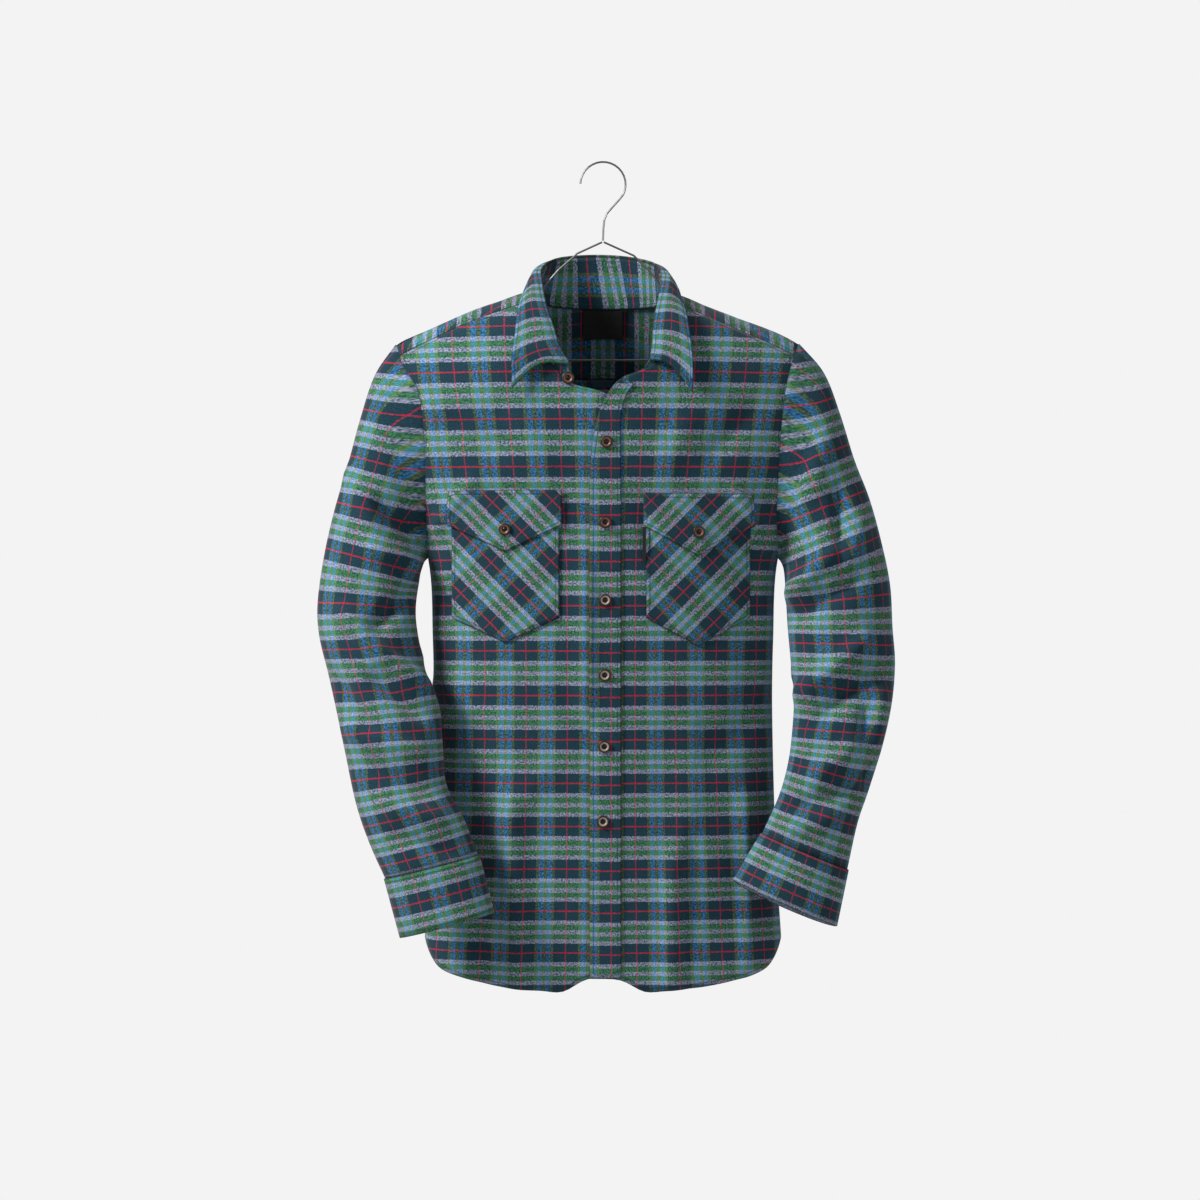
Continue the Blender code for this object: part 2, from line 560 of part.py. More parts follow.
def collar_stand():
    """The ring round the neck, from the neck seam up to the fold."""
    folds, _ = collar_frame()
    feet = [body_point(*spot) for spot in neck_stations()]
    for foot in feet:
        foot.x -= math.copysign(0.0016, foot.x) * ramp(0.070, 0.084, abs(foot.x))
    grid = np.array([[tuple(foot + (fold - foot) * part) for foot, fold in zip(feet, folds)]
                     for part in (0.0, 0.5, 1.0)])
    grid[0] += (grid[1] - grid[0]) / np.linalg.norm(grid[1] - grid[0], axis=-1, keepdims=True) * SEAM
    normals = sheet_normals(grid, np.array((0.0, 0.0, -0.19)))
    quads = grid_quads(*grid.shape[:2])
    outer, inner = grid.reshape(-1, 3), (grid - normals * DOUBLE).reshape(-1, 3)
    return wall_of("collar_stand", outer, inner, quads, FLANNEL_DARK)


def collar():
    """The leaf, folded over the top of the stand and lying on the shoulders and fronts."""
    folds, edges = collar_frame()
    centre = Vector((0.0, 0.0, -0.15))
    lines = []
    for part in (0.0, 0.12, 0.4, 0.7, 1.0):
        line = []
        for k, (fold, edge) in enumerate(zip(folds, edges)):
            away = Vector((edge.x - centre.x, edge.y - centre.y, 0)).normalized()
            point = fold + (edge - fold) * part + away * LEAF_ROLL * min(part / 0.12, 1) * (1 - 0.7 * part)
            point.y -= (DOUBLE + SEAM * 3) * ramp(0.015, 0.045, -fold.y)
            point.z += DOUBLE + LAY * (1 - part) + (COLLAR["bow"][k] + 0.004) * math.sin(math.pi * part)
            if point.y < 0 and smooth(RIDGE, "x", point.x, "z") > point.z and part > 0.2:
                surface = body_point(turn_at(point.x, point.z), point.z)
                point.y = min(point.y, surface.y - COLLAR_LIFT)
            line.append(tuple(point))
        lines.append(line)
    grid = np.array(lines)[::-1]
    normals = sheet_normals(grid, np.array((0.0, 0.0, -0.19)))
    quads = grid_quads(*grid.shape[:2])
    outer, inner = grid.reshape(-1, 3), (grid - normals * DOUBLE).reshape(-1, 3)
    return wall_of("collar", outer, inner, quads, FLANNEL)


def placket():
    """The band down the overlap's edge, turning away with it above the top button."""
    edge = list(zip(FRONT_EDGE["left_x"], FRONT_EDGE["left_z"]))
    start = edge[-1][1]
    edge += [(PLACKET_EDGE, start + (hem_height(0) - start) * k / 16) for k in range(1, 17)]
    wides = [0.014, 0.020, 0.027, 0.034] + [PLACKET_WIDE] * 16
    rows = []
    for (x, z), wide in zip(edge, wides):
        slope = (PLACKET_WIDE - wide) * 0.3
        rows.append([(turn_at(x + wide * k / 2, z - slope * k / 2), z - slope * k / 2) for k in range(3)])
    return on_body("placket", rows[::-1], FLANNEL_DARK, lambda p: overlap_lift(p) + LAY + CLOTH)


def patch(name, columns, rows_of, out, finish):
    """A flat piece on the front made of body points, moved out."""
    grid = [[(turn_at(x, z), z) for x, z in row] for row in rows_of(columns)]
    return on_body(name, grid, finish, out)


def pocket(row):
    side, inner, outer, top, bottom, point, flap_top, flap_low, flap_point = row
    word = "left" if side > 0 else "right"
    first, last = (inner, outer) if side > 0 else (-outer, -inner)
    middle = (first + last) / 2

    def pocket_rows(columns):
        lines = []
        for part in (0.0, 0.2, 0.4, 0.6, 0.8, 1.0):
            line = []
            for k in range(columns + 1):
                x = first + (last - first) * k / columns
                low = point + (bottom - point) * abs(x - middle) / abs(last - middle)
                line.append((x, low + (top - low) * part))
            lines.append(line)
        return lines

    def flap_rows(columns):
        lines = []
        wide_first, wide_last = first - FLAP_OVERHANG, last + FLAP_OVERHANG
        for part in (0.0, 0.33, 0.67, 1.0):
            line = []
            for k in range(columns + 1):
                x = wide_first + (wide_last - wide_first) * k / columns
                low = flap_point + (flap_low - flap_point) * abs(x - middle) / abs(wide_last - middle)
                line.append((x, low + (flap_top - low) * part))
            lines.append(line)
        return lines

    lift = overlap_lift if side > 0 else (lambda p: 0.0)
    patch("pocket_" + word, 12, pocket_rows, lambda p: lift(p) + LAY + CLOTH, FLANNEL_DARK)
    patch("flap_" + word, 12, flap_rows, lambda p: lift(p) + 2 * (LAY + CLOTH), FLANNEL)
    button_z = (flap_point + flap_low) / 2 + 0.010
    button("button_flap_" + word, turn_at(middle, button_z), button_z, 2 * (LAY + CLOTH) + BUTTON_CLEAR)


def button(name, turn, z, out):
    """A round button lying on the body, `out` proud of it."""
    normal = body_normal(turn, z)
    centre = body_point(turn, z) + normal * (out + BUTTON_THICK / 2)
    button_at(name, centre, normal)


def button_at(name, centre, normal):
    bpy.ops.mesh.primitive_cylinder_add(vertices=14, radius=BUTTON_RADIUS, depth=BUTTON_THICK)
    made = bpy.context.object
    made.name = made.data.name = name
    made.rotation_euler = normal.to_track_quat("Z", "Y").to_euler()
    made.location = centre
    made.data.materials.append(material(name, BUTTON_HORN))
    for group in made.users_collection:
        group.objects.unlink(made)
    bpy.data.collections["flannel_shirt"].objects.link(made)
    return made


def neck_label():
    """The bare label inside the back of the yoke, under the neck seam."""
    rows = []
    for k in range(4):
        z = LABEL_TOP - LABEL_TALL * k / 3
        rows.append([(math.pi - turn_at(LABEL_WIDE * (j / 4 - 0.5), z), z) for j in range(5)])
    return on_body("neck_label", [row[::-1] for row in rows[::-1]], BLACK_TAPE, -DOUBLE - LABEL_SINK, 0.0008)


def pocket_tab():
    """The folded tape caught in the left pocket's inner side."""
    x = POCKET["inner"][1] - TAB_WIDE - SEAM
    rows = [[(turn_at(x + TAB_WIDE * j, TAB_TOP - TAB_TALL * k / 4), TAB_TOP - TAB_TALL * k / 4) for j in (0, 1)]
            for k in range(5)]
    return on_body("pocket_tab", rows[::-1], BLACK_TAPE, lambda p: overlap_lift(p) + LAY + 0.0012, 0.0012)


def wire(name, points):
    """A steel wire through a list of points."""
    curve = bpy.data.curves.new(name, "CURVE")
    curve.dimensions = "3D"
    curve.bevel_depth = WIRE
    curve.bevel_resolution = 2
    curve.use_fill_caps = True
    curve.resolution_u = curve.render_resolution_u = 1
    spline = curve.splines.new("POLY")
    spline.points.add(len(points) - 1)
    for spot, point in zip(spline.points, points):
        spot.co = (*point, 1)
    return place(name, curve, STEEL)


def hanger():
    """The hook and its stem, the two shoulder arms and the bottom bar, each a wire of its own."""
    middle = HOOK_MIDDLE
    hook = [(HOOK_RADIUS * math.sin(math.radians(a)), 0, middle + HOOK_RADIUS * math.cos(math.radians(a)))
            for a in range(-88, 118, 12)]
    hook += [(0.0195, 0, -0.0435), (0.0110, 0, -0.0530), (0.0045, 0, -0.0605), (0.0015, 0, -0.0680),
             (0.0005, 0, -0.0780), (0.0, 0, -0.0919)]
    wire("hanger_hook", hook)
    for name, rows in (("hanger_arm_right", HANGER_RIGHT), ("hanger_arm_left", HANGER_LEFT)):
        route = []
        for x, z in zip(rows["x"], rows["z"]):
            under = 0.095 < abs(x) < 0.2
            route.append((x, 0, smooth(RIDGE, "x", x, "z") - DOUBLE - WIRE - ARM_CLEAR if under else z))
        wire(name, route)
    ends = HANGER_RIGHT["x"][-1] + BAR_END, HANGER_LEFT["x"][-1] - BAR_END
    wire("hanger_bar", [(ends[0], 0, BAR_HEIGHT), (0, 0, BAR_HEIGHT), (ends[1], 0, BAR_HEIGHT)])


def cuff_button(name, frame, step_index, part):
    points, normals, count = frame
    low, high = points[2 * count + step_index], points[count + step_index]
    normal = Vector(normals[count + step_index])
    centre = Vector(low + (high - low) * part) + normal * (CUFF_BUTTON_CLEAR + BUTTON_THICK / 2)
    button_at(name, centre, normal)


def build():
    for old in list(bpy.data.objects):
        bpy.data.objects.remove(old)
    group = bpy.data.collections.new("flannel_shirt")
    bpy.context.scene.collection.children.link(group)
    front(-1, "front_right")
    front(1, "front_left")
    back()
    yoke()
    placket()
    collar_stand()
    collar()
    frames = {side: sleeve(side, "sleeve_" + word, "cuff_" + word) for side, word in ((-1, "right"), (1, "left"))}
    for row in zip(*POCKET.values()):
        pocket(row)
    for number, (x, z) in enumerate(zip(BUTTONS["x"], BUTTONS["z"])):
        button(f"button_{number + 1}", turn_at(x, z), z, 2 * (LAY + CLOTH) + BUTTON_CLEAR)
    button("button_collar", turn_at(-0.0400, -0.2575), -0.2575, BUTTON_CLEAR)
    cuff_button("button_cuff_right", frames[-1], CUFF_BUTTON_STEP[-1], 0.9)
    cuff_button("button_cuff_left", frames[1], CUFF_BUTTON_STEP[1], 0.9)
    neck_label()
    pocket_tab()
    hanger()


build()
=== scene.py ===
import math
import bpy
import numpy as np
from mathutils import Matrix, Vector


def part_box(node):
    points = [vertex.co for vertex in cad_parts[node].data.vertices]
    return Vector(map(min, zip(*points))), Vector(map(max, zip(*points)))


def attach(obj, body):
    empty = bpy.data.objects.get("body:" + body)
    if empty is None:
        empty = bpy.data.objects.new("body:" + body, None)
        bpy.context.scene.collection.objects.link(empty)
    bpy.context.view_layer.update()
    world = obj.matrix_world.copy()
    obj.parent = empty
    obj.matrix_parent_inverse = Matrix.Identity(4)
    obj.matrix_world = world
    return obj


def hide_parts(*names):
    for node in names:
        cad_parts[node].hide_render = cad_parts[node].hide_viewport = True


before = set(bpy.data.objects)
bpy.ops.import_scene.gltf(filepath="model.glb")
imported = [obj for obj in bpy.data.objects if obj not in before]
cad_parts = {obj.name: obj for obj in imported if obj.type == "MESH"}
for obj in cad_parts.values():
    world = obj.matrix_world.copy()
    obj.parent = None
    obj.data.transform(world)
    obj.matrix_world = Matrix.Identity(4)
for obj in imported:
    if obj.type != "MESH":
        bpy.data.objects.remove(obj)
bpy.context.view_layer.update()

print("frame loaded")

# The shirt, in metres: +Z up, front to -Y, side -1 is the wearer's right and +1 the left.
# Every sheet is laid on the body by its spots: turn is the angle round it, z the height.
shirt = {"roundness": 2.3,            # 2 is an ellipse, more is squarer
         "roll": 0.120,               # drop over which the shoulders round over
         "shoulderTip": -0.2145,
         "underarm": -0.462,
         "hemSide": -0.905,
         "hemLow": -0.963,
         "neckBack": -0.163,
         "neckHalf": 0.0865,
         "cloth": 0.0015,             # thickness of one layer
         "double": 0.0024,            # of two sewn together
         "lay": 0.0007}               # gap between layers that lie on each other
armSteps = (0, 14, 28, 48, 69, 90, 111, 132, 152, 168, 180)    # degrees round the armhole from its top
frontSeamStep = 2                     # the yoke's seams meet the armhole at these steps
backSeamStep = 3
backColumns = 16
frontColumns = 14
sideRows = 10
yokeRows = 3
frontEdges = {-1: 0.018, 1: -0.0155}  # x of each front's edge below the neck


def table(titles, *rows):
    # Rows of numbers as one array for each named column.
    return dict(zip(titles.split(), np.array(rows, float).T))


bodyRow = table("z half_width half_depth",
    (-0.965, 0.212, 0.070), (-0.900, 0.208, 0.071), (-0.840, 0.204, 0.072), (-0.740, 0.200, 0.073),
    (-0.560, 0.199, 0.075), (-0.462, 0.205, 0.075), (-0.420, 0.216, 0.075), (-0.370, 0.229, 0.075),
    (-0.310, 0.239, 0.075), (-0.240, 0.252, 0.075), (-0.120, 0.258, 0.075))
ridge = table("x z",
    (-0.262, -0.228), (-0.232, -0.210), (-0.193, -0.1915), (-0.153, -0.1740), (-0.091, -0.1535),
    (0.000, -0.1206), (0.091, -0.1570), (0.157, -0.1825), (0.200, -0.1985), (0.227, -0.2110),
    (0.262, -0.232))
armhole = table("z right left",
    (-0.462, 0.2050, 0.2045), (-0.420, 0.2066, 0.2025), (-0.370, 0.2070, 0.2040),
    (-0.308, 0.2095, 0.2080), (-0.2675, 0.2170, 0.2130), (-0.238, 0.2350, 0.2205),
    (-0.2145, 0.2420, 0.2290))
neck = table("right_x right_z left_x left_z",                 # front neck seam, from the ridge to the middle
    (-0.0865, -0.1655, 0.0865, -0.1680), (-0.0800, -0.1960, 0.0800, -0.1960),
    (-0.0660, -0.2280, 0.0690, -0.2250), (-0.0520, -0.2490, 0.0575, -0.2400),
    (-0.0345, -0.2640, 0.0445, -0.2480))
frontEdge = table("right_x right_z left_x left_z",           # free edge below the neck
    (0.0023, -0.2745, 0.0220, -0.2570), (0.0160, -0.3000, 0.0060, -0.2740),
    (0.0180, -0.3400, -0.0065, -0.3020), (0.0180, -0.3850, -0.0135, -0.3420))
# broad folds: face -1 is the front and +1 the back, lean is x per metre down
folds = table("face x lean top bottom width depth",
    (-1, -0.110, 0.03, -0.60, -0.99, 0.020, 0.0050), (-1, 0.100, -0.02, -0.66, -0.99, 0.018, 0.0045),
    (-1, 0.160, 0.02, -0.74, -0.99, 0.014, -0.0050), (1, -0.120, 0.04, -0.30, -0.99, 0.022, 0.0070),
    (1, -0.050, -0.03, -0.34, -0.99, 0.020, -0.0065), (1, 0.040, 0.02, -0.30, -0.99, 0.020, 0.0060),
    (1, 0.120, -0.05, -0.36, -0.99, 0.022, -0.0070))
collarRow = table("fold_x fold_y fold_z edge_x edge_y edge_z bow",
    (-0.0368, -0.0725, -0.2456, -0.1025, -0.0775, -0.2720, 0.009),
    (-0.0495, -0.0690, -0.2226, -0.1035, -0.0760, -0.2400, 0.0),
    (-0.0564, -0.0610, -0.2008, -0.1000, -0.0645, -0.2090, 0.0),
    (-0.0656, -0.0470, -0.1720, -0.0970, -0.0500, -0.1800, 0.0),
    (-0.0700, -0.0260, -0.1467, -0.0915, -0.0300, -0.1590, 0.0),
    (-0.0713, 0.0020, -0.1265, -0.0850, 0.0080, -0.1440, 0.0),
    (-0.0560, 0.0320, -0.1125, -0.0700, 0.0450, -0.1560, 0.0),
    (-0.0250, 0.0480, -0.1070, -0.0300, 0.0660, -0.1720, 0.0),
    (0.0100, 0.0500, -0.1068, 0.0100, 0.0690, -0.1740, 0.0),
    (0.0400, 0.0420, -0.1110, 0.0480, 0.0600, -0.1700, 0.0),
    (0.0620, 0.0220, -0.1195, 0.0740, 0.0350, -0.1560, 0.0),
    (0.0680, -0.0040, -0.1330, 0.0850, 0.0020, -0.1490, 0.0),
    (0.0665, -0.0300, -0.1500, 0.0900, -0.0300, -0.1660, 0.0),
    (0.0615, -0.0480, -0.1750, 0.0945, -0.0500, -0.1830, 0.0),
    (0.0575, -0.0610, -0.2000, 0.0985, -0.0640, -0.2080, 0.0),
    (0.0560, -0.0690, -0.2220, 0.1015, -0.0760, -0.2400, 0.0),
    (0.0530, -0.0725, -0.2400, 0.1015, -0.0775, -0.2780, 0.006))
sleeveRight = table("outer_x outer_z inner_x inner_z middle_y half_depth",
    (-0.2657, -0.2502, -0.2070, -0.4640, -0.002, 0.044),
    (-0.2829, -0.3031, -0.2090, -0.4665, -0.006, 0.047),
    (-0.2967, -0.3560, -0.2110, -0.4705, -0.010, 0.049),
    (-0.3117, -0.4078, -0.2130, -0.4770, -0.015, 0.050),
    (-0.3232, -0.4607, -0.2150, -0.4900, -0.021, 0.049),
    (-0.3300, -0.5147, -0.2185, -0.5205, -0.030, 0.047),
    (-0.3278, -0.5527, -0.2162, -0.5492, -0.037, 0.045),
    (-0.3163, -0.5975, -0.2060, -0.5952, -0.048, 0.043),
    (-0.3048, -0.6447, -0.1898, -0.6344, -0.060, 0.041),
    (-0.2956, -0.6849, -0.1852, -0.6792, -0.070, 0.038),
    (-0.2818, -0.7459, -0.1806, -0.7240, -0.080, 0.036),
    (-0.2657, -0.7907, -0.1599, -0.7631, -0.089, 0.033),
    (-0.2473, -0.8298, -0.1438, -0.8034, -0.097, 0.029),
    (-0.2289, -0.8965, -0.1265, -0.8690, -0.101, 0.030))
sleeveLeft = table("outer_x outer_z inner_x inner_z middle_y half_depth",
    (0.2576, -0.2479, 0.2065, -0.4640, -0.002, 0.044),
    (0.2760, -0.2962, 0.2085, -0.4670, -0.006, 0.047),
    (0.2921, -0.3491, 0.2105, -0.4715, -0.010, 0.049),
    (0.3094, -0.3951, 0.2120, -0.4780, -0.015, 0.050),
    (0.3232, -0.4469, 0.2130, -0.4915, -0.020, 0.049),
    (0.3324, -0.4952, 0.2140, -0.5135, -0.026, 0.047),
    (0.3347, -0.5446, 0.2155, -0.5446, -0.032, 0.045),
    (0.3370, -0.5860, 0.2185, -0.5814, -0.039, 0.043),
    (0.3324, -0.6320, 0.2220, -0.6225, -0.047, 0.041),
    (0.3209, -0.6803, 0.2185, -0.6720, -0.056, 0.039),
    (0.3048, -0.7298, 0.2130, -0.7050, -0.065, 0.037),
    (0.2910, -0.7677, 0.2024, -0.7390, -0.074, 0.034),
    (0.2783, -0.8206, 0.1829, -0.7804, -0.085, 0.030),
    (0.2645, -0.8840, 0.1507, -0.8333, -0.093, 0.031))
cuffBackDrop = {-1: 0.0, 1: 0.008}     # how much lower the back of the cuff's mouth hangs

pocket = table("side inner outer top bottom point flap_top flap_low flap_point",
    (-1, 0.0500, 0.1740, -0.402, -0.5330, -0.5610, -0.386, -0.4260, -0.4560),
    (1, 0.0495, 0.1690, -0.402, -0.5330, -0.5650, -0.390, -0.4270, -0.4610))

def smooth(rows, key, at, column):
    # A smooth curve through a table's column, read at one value of its key column.
    keys, values = rows[key], rows[column]
    if keys[0] > keys[-1]:
        keys, values = keys[::-1], values[::-1]
    slopes = np.gradient(values, keys)
    low = int(np.clip(np.searchsorted(keys, at) - 1, 0, len(keys) - 2))
    span = keys[low + 1] - keys[low]
    part = (min(max(at, keys[0]), keys[-1]) - keys[low]) / span
    square, cube = part ** 2, part ** 3
    return ((2 * cube - 3 * square + 1) * values[low] + (cube - 2 * square + part) * span * slopes[low]
            + (3 * square - 2 * cube) * values[low + 1] + (cube - square) * span * slopes[low + 1])


def ramp(low, high, value):
    part = min(max((value - low) / (high - low), 0.0), 1.0)
    return part * part * (3 - 2 * part)


def turnAt(x, z):
    # The angle round the body, 0 at the front middle and a right angle at the side, at a place on the front.
    share = min(abs(x) / smooth(bodyRow, "z", z, "half_width"), 1.0)
    return math.copysign(math.asin(share ** (shirt["roundness"] / 2)), x)


def bodyPoint(turn, z):
    # A point of the body's outer face; beyond a right angle it is on the back.
    sine, cosine = math.sin(turn), math.cos(turn)
    x = smooth(bodyRow, "z", z, "half_width") * math.copysign(abs(sine) ** (2 / shirt["roundness"]), sine)
    drop = (smooth(ridge, "x", x, "z") - z) / shirt["roll"]
    roll = 1.0 if drop >= 1 else math.sqrt(max(0.0, 1 - (1 - drop) ** 2))
    face = -1 if cosine > 0 else 1
    depth = smooth(bodyRow, "z", z, "half_depth") * abs(cosine) ** (2 / shirt["roundness"]) * roll
    for row in zip(*(folds[name] for name in ("face", "x", "lean", "top", "bottom", "width", "depth"))):
        foldFace, foldX, lean, top, bottom, width, amount = row
        if foldFace == face and z < top:
            across = (x - foldX - lean * (top - z)) / width
            depth += amount * math.exp(-across ** 2) * ramp(0, 0.12, top - z) * abs(cosine)
    return Vector((x, face * depth, z))


def bodyNormal(turn, z):
    step = 0.03
    across = bodyPoint(turn + step, z) - bodyPoint(turn - step, z)
    up = bodyPoint(turn, z + 0.002) - bodyPoint(turn, z - 0.002)
    return across.cross(up).normalized()


def armholeSpot(side, stepDegrees):
    # Turn and height on the armhole; negative degrees are on the back.
    top, bottom = shirt["shoulderTip"], shirt["underarm"]
    middle, half = (top + bottom) / 2, (top - bottom) / 2
    z = middle + half * math.cos(math.radians(stepDegrees))
    x = side * smooth(armhole, "z", z, "left" if side > 0 else "right")
    turn = turnAt(x, z)
    if abs(stepDegrees) == 180:
        turn = side * math.pi / 2
    return (turn if stepDegrees >= 0 else side * math.pi - turn, z)


def hemHeight(turn, zGuess=-0.95):
    # The tail hem, lower in each half and rising to the side seams and to the middle.
    x = abs(bodyPoint(turn, zGuess).x)
    sideRise = shirt["hemSide"] - shirt["hemLow"] - 0.031
    sideRise *= ramp(math.radians(58), math.radians(90), abs(turn))
    return shirt["hemLow"] + 0.031 * (x / 0.21) ** 3 + sideRise + 0.016 * (1 - ramp(0.012, 0.045, x))


def gridQuads(rows, count, closed=False):
    # The four-cornered faces of a grid of points, row after row; a closed one is a tube.
    quads = []
    for row in range(rows - 1):
        for column in range(count if closed else count - 1):
            beside = (column + 1) % count
            quads.append((row * count + column, row * count + beside,
                          (row + 1) * count + beside, (row + 1) * count + column))
    return quads


def overlapLift(points):
    # How far the overlapping front stands off the other one, fading out to the side.
    x = points[..., 0:1]
    part = np.clip((x - 0.030) / 0.040, 0, 1)
    return (shirt["cloth"] + shirt["lay"]) * (1 - part * part * (3 - 2 * part))


def ruledRow(outerSpot, innerSpot, count):
    parts = [k / count for k in range(count + 1)]
    return [tuple(o + (i - o) * part for o, i in zip(outerSpot, innerSpot)) for part in parts]


def seamSpot(side, part, neckSpot):
    # The yoke's front seam, from the armhole to the neck.
    outTurn, outZ = armholeSpot(side, armSteps[frontSeamStep])
    outX = bodyPoint(outTurn, outZ).x
    x = outX + (neckSpot[0] - outX) * part
    dropOut = smooth(ridge, "x", outX, "z") - outZ
    dropIn = smooth(ridge, "x", neckSpot[0], "z") - neckSpot[1]
    z = smooth(ridge, "x", x, "z") - (dropOut + (dropIn - dropOut) * part)
    return turnAt(x, z), z


def backSeam():
    # The yoke's back seam, across the back from -X to +X.
    spots = []
    right = armholeSpot(-1, -armSteps[backSeamStep])
    left = armholeSpot(1, -armSteps[backSeamStep])
    for k in range(backColumns + 1):
        part = k / backColumns
        turn = (right[0] % (2 * math.pi)) + (left[0] - right[0] % (2 * math.pi)) * part
        z = right[1] + (left[1] - right[1]) * part + 0.006 * math.sin(math.pi * part)
        spots.append((turn, z))
    return spots


def neckBackZ(x):
    sideZ = smooth(ridge, "x", math.copysign(shirt["neckHalf"], x), "z")
    return shirt["neckBack"] + (sideZ - shirt["neckBack"]) * (abs(x) / shirt["neckHalf"]) ** 4


def yokeTops():
    # Where each yoke column meets the ridge or the neck, from -X to +X.
    tops = []
    for k in range(backColumns + 1):
        across = 2 * k / backColumns - 1
        side = 1 if across > 0 else -1
        if abs(across) <= 0.5:
            x = across * 2 * shirt["neckHalf"]
            tops.append((x, neckBackZ(x)))
        else:
            tipX = abs(bodyPoint(*armholeSpot(side, 0)).x)
            x = side * (shirt["neckHalf"] + (tipX - shirt["neckHalf"]) * (abs(across) - 0.5) * 2)
            tops.append((x, smooth(ridge, "x", x, "z")))
    return tops


def rolledSpot(x, angle, extra, face):
    # A spot at an angle down the shoulder's roll; face is -1 in front and +1 behind.
    z = smooth(ridge, "x", x, "z") - shirt["roll"] * (1 - math.cos(angle)) - extra
    turn = turnAt(x, z)
    return (turn if face < 0 else math.pi - turn), z


def rollAngle(x, z):
    # How far down the shoulder's roll a height is, and what is left below the roll.
    drop = max(smooth(ridge, "x", x, "z") - z, 0.0)
    return math.acos(1 - min(drop, shirt["roll"]) / shirt["roll"]), max(drop - shirt["roll"], 0.0)


def ring(rows, row, degrees, backDrop=0.0):
    # A point of one sleeve section: 0 at the outer edge, a right angle in front, 180 at the inner edge.
    read = {name: values[row] for name, values in rows.items()}
    angle = math.radians(degrees)
    outer = Vector((read["outer_x"], read["middle_y"], read["outer_z"]))
    inner = Vector((read["inner_x"], read["middle_y"], read["inner_z"]))
    point = (outer + inner) / 2 + (outer - inner) / 2 * math.cos(angle)
    point.y -= read["half_depth"] * math.sin(angle)
    point.z -= backDrop * max(0.0, -math.sin(angle))
    return point


def neckStations():
    # Turn and height of each collar station on the neck seam, from the right front round the back.
    right = [(turnAt(x, z), z) for x, z in zip(neck["right_x"][::-1], neck["right_z"][::-1])]
    left = [(turnAt(x, z), z) for x, z in zip(neck["left_x"], neck["left_z"])]
    behind = []
    for k in range(4, 13):
        x, z = yokeTops()[k]
        if k in (4, 12):
            z -= 0.0002
        behind.append((math.pi - turnAt(x, z), z))
    picked = [behind[0], behind[1], behind[3], behind[5], behind[6], behind[7], behind[8]]
    return right + picked + left


def collarFrame():
    # The fold and the free edge of the collar leaf, station by station.
    return [[Vector(spot) for spot in zip(*(collarRow[line + axis] for axis in ("_x", "_y", "_z")))]
            for line in ("fold", "edge")]


flannelLook = {"wall": 0.0012,            # thickness of one shown layer
               "warpPeriod": 0.0478,      # metres from one red warp line to the next
               "threadShare": 0.55,       # weft over warp
               "redWarp": 0.36, "redWeft": 0.60,     # how much the red threads cover
               "strayed": 0.055,          # how far stripe edges wander, in repeats
               "heather": 3.2,            # how unevenly weft and warp show through each other
               "speckle": 2.6, "cloudiness": 0.30,
               "twillLines": 260.0, "twillDepth": 0.25,
               "bump": 0.35, "sheen": 0.12, "roughness": 0.92,
               "crease": 2.5,             # how strongly the creases below are pressed in
               "stitchIn": 0.0045, "stitchesPerMetre": 380.0}

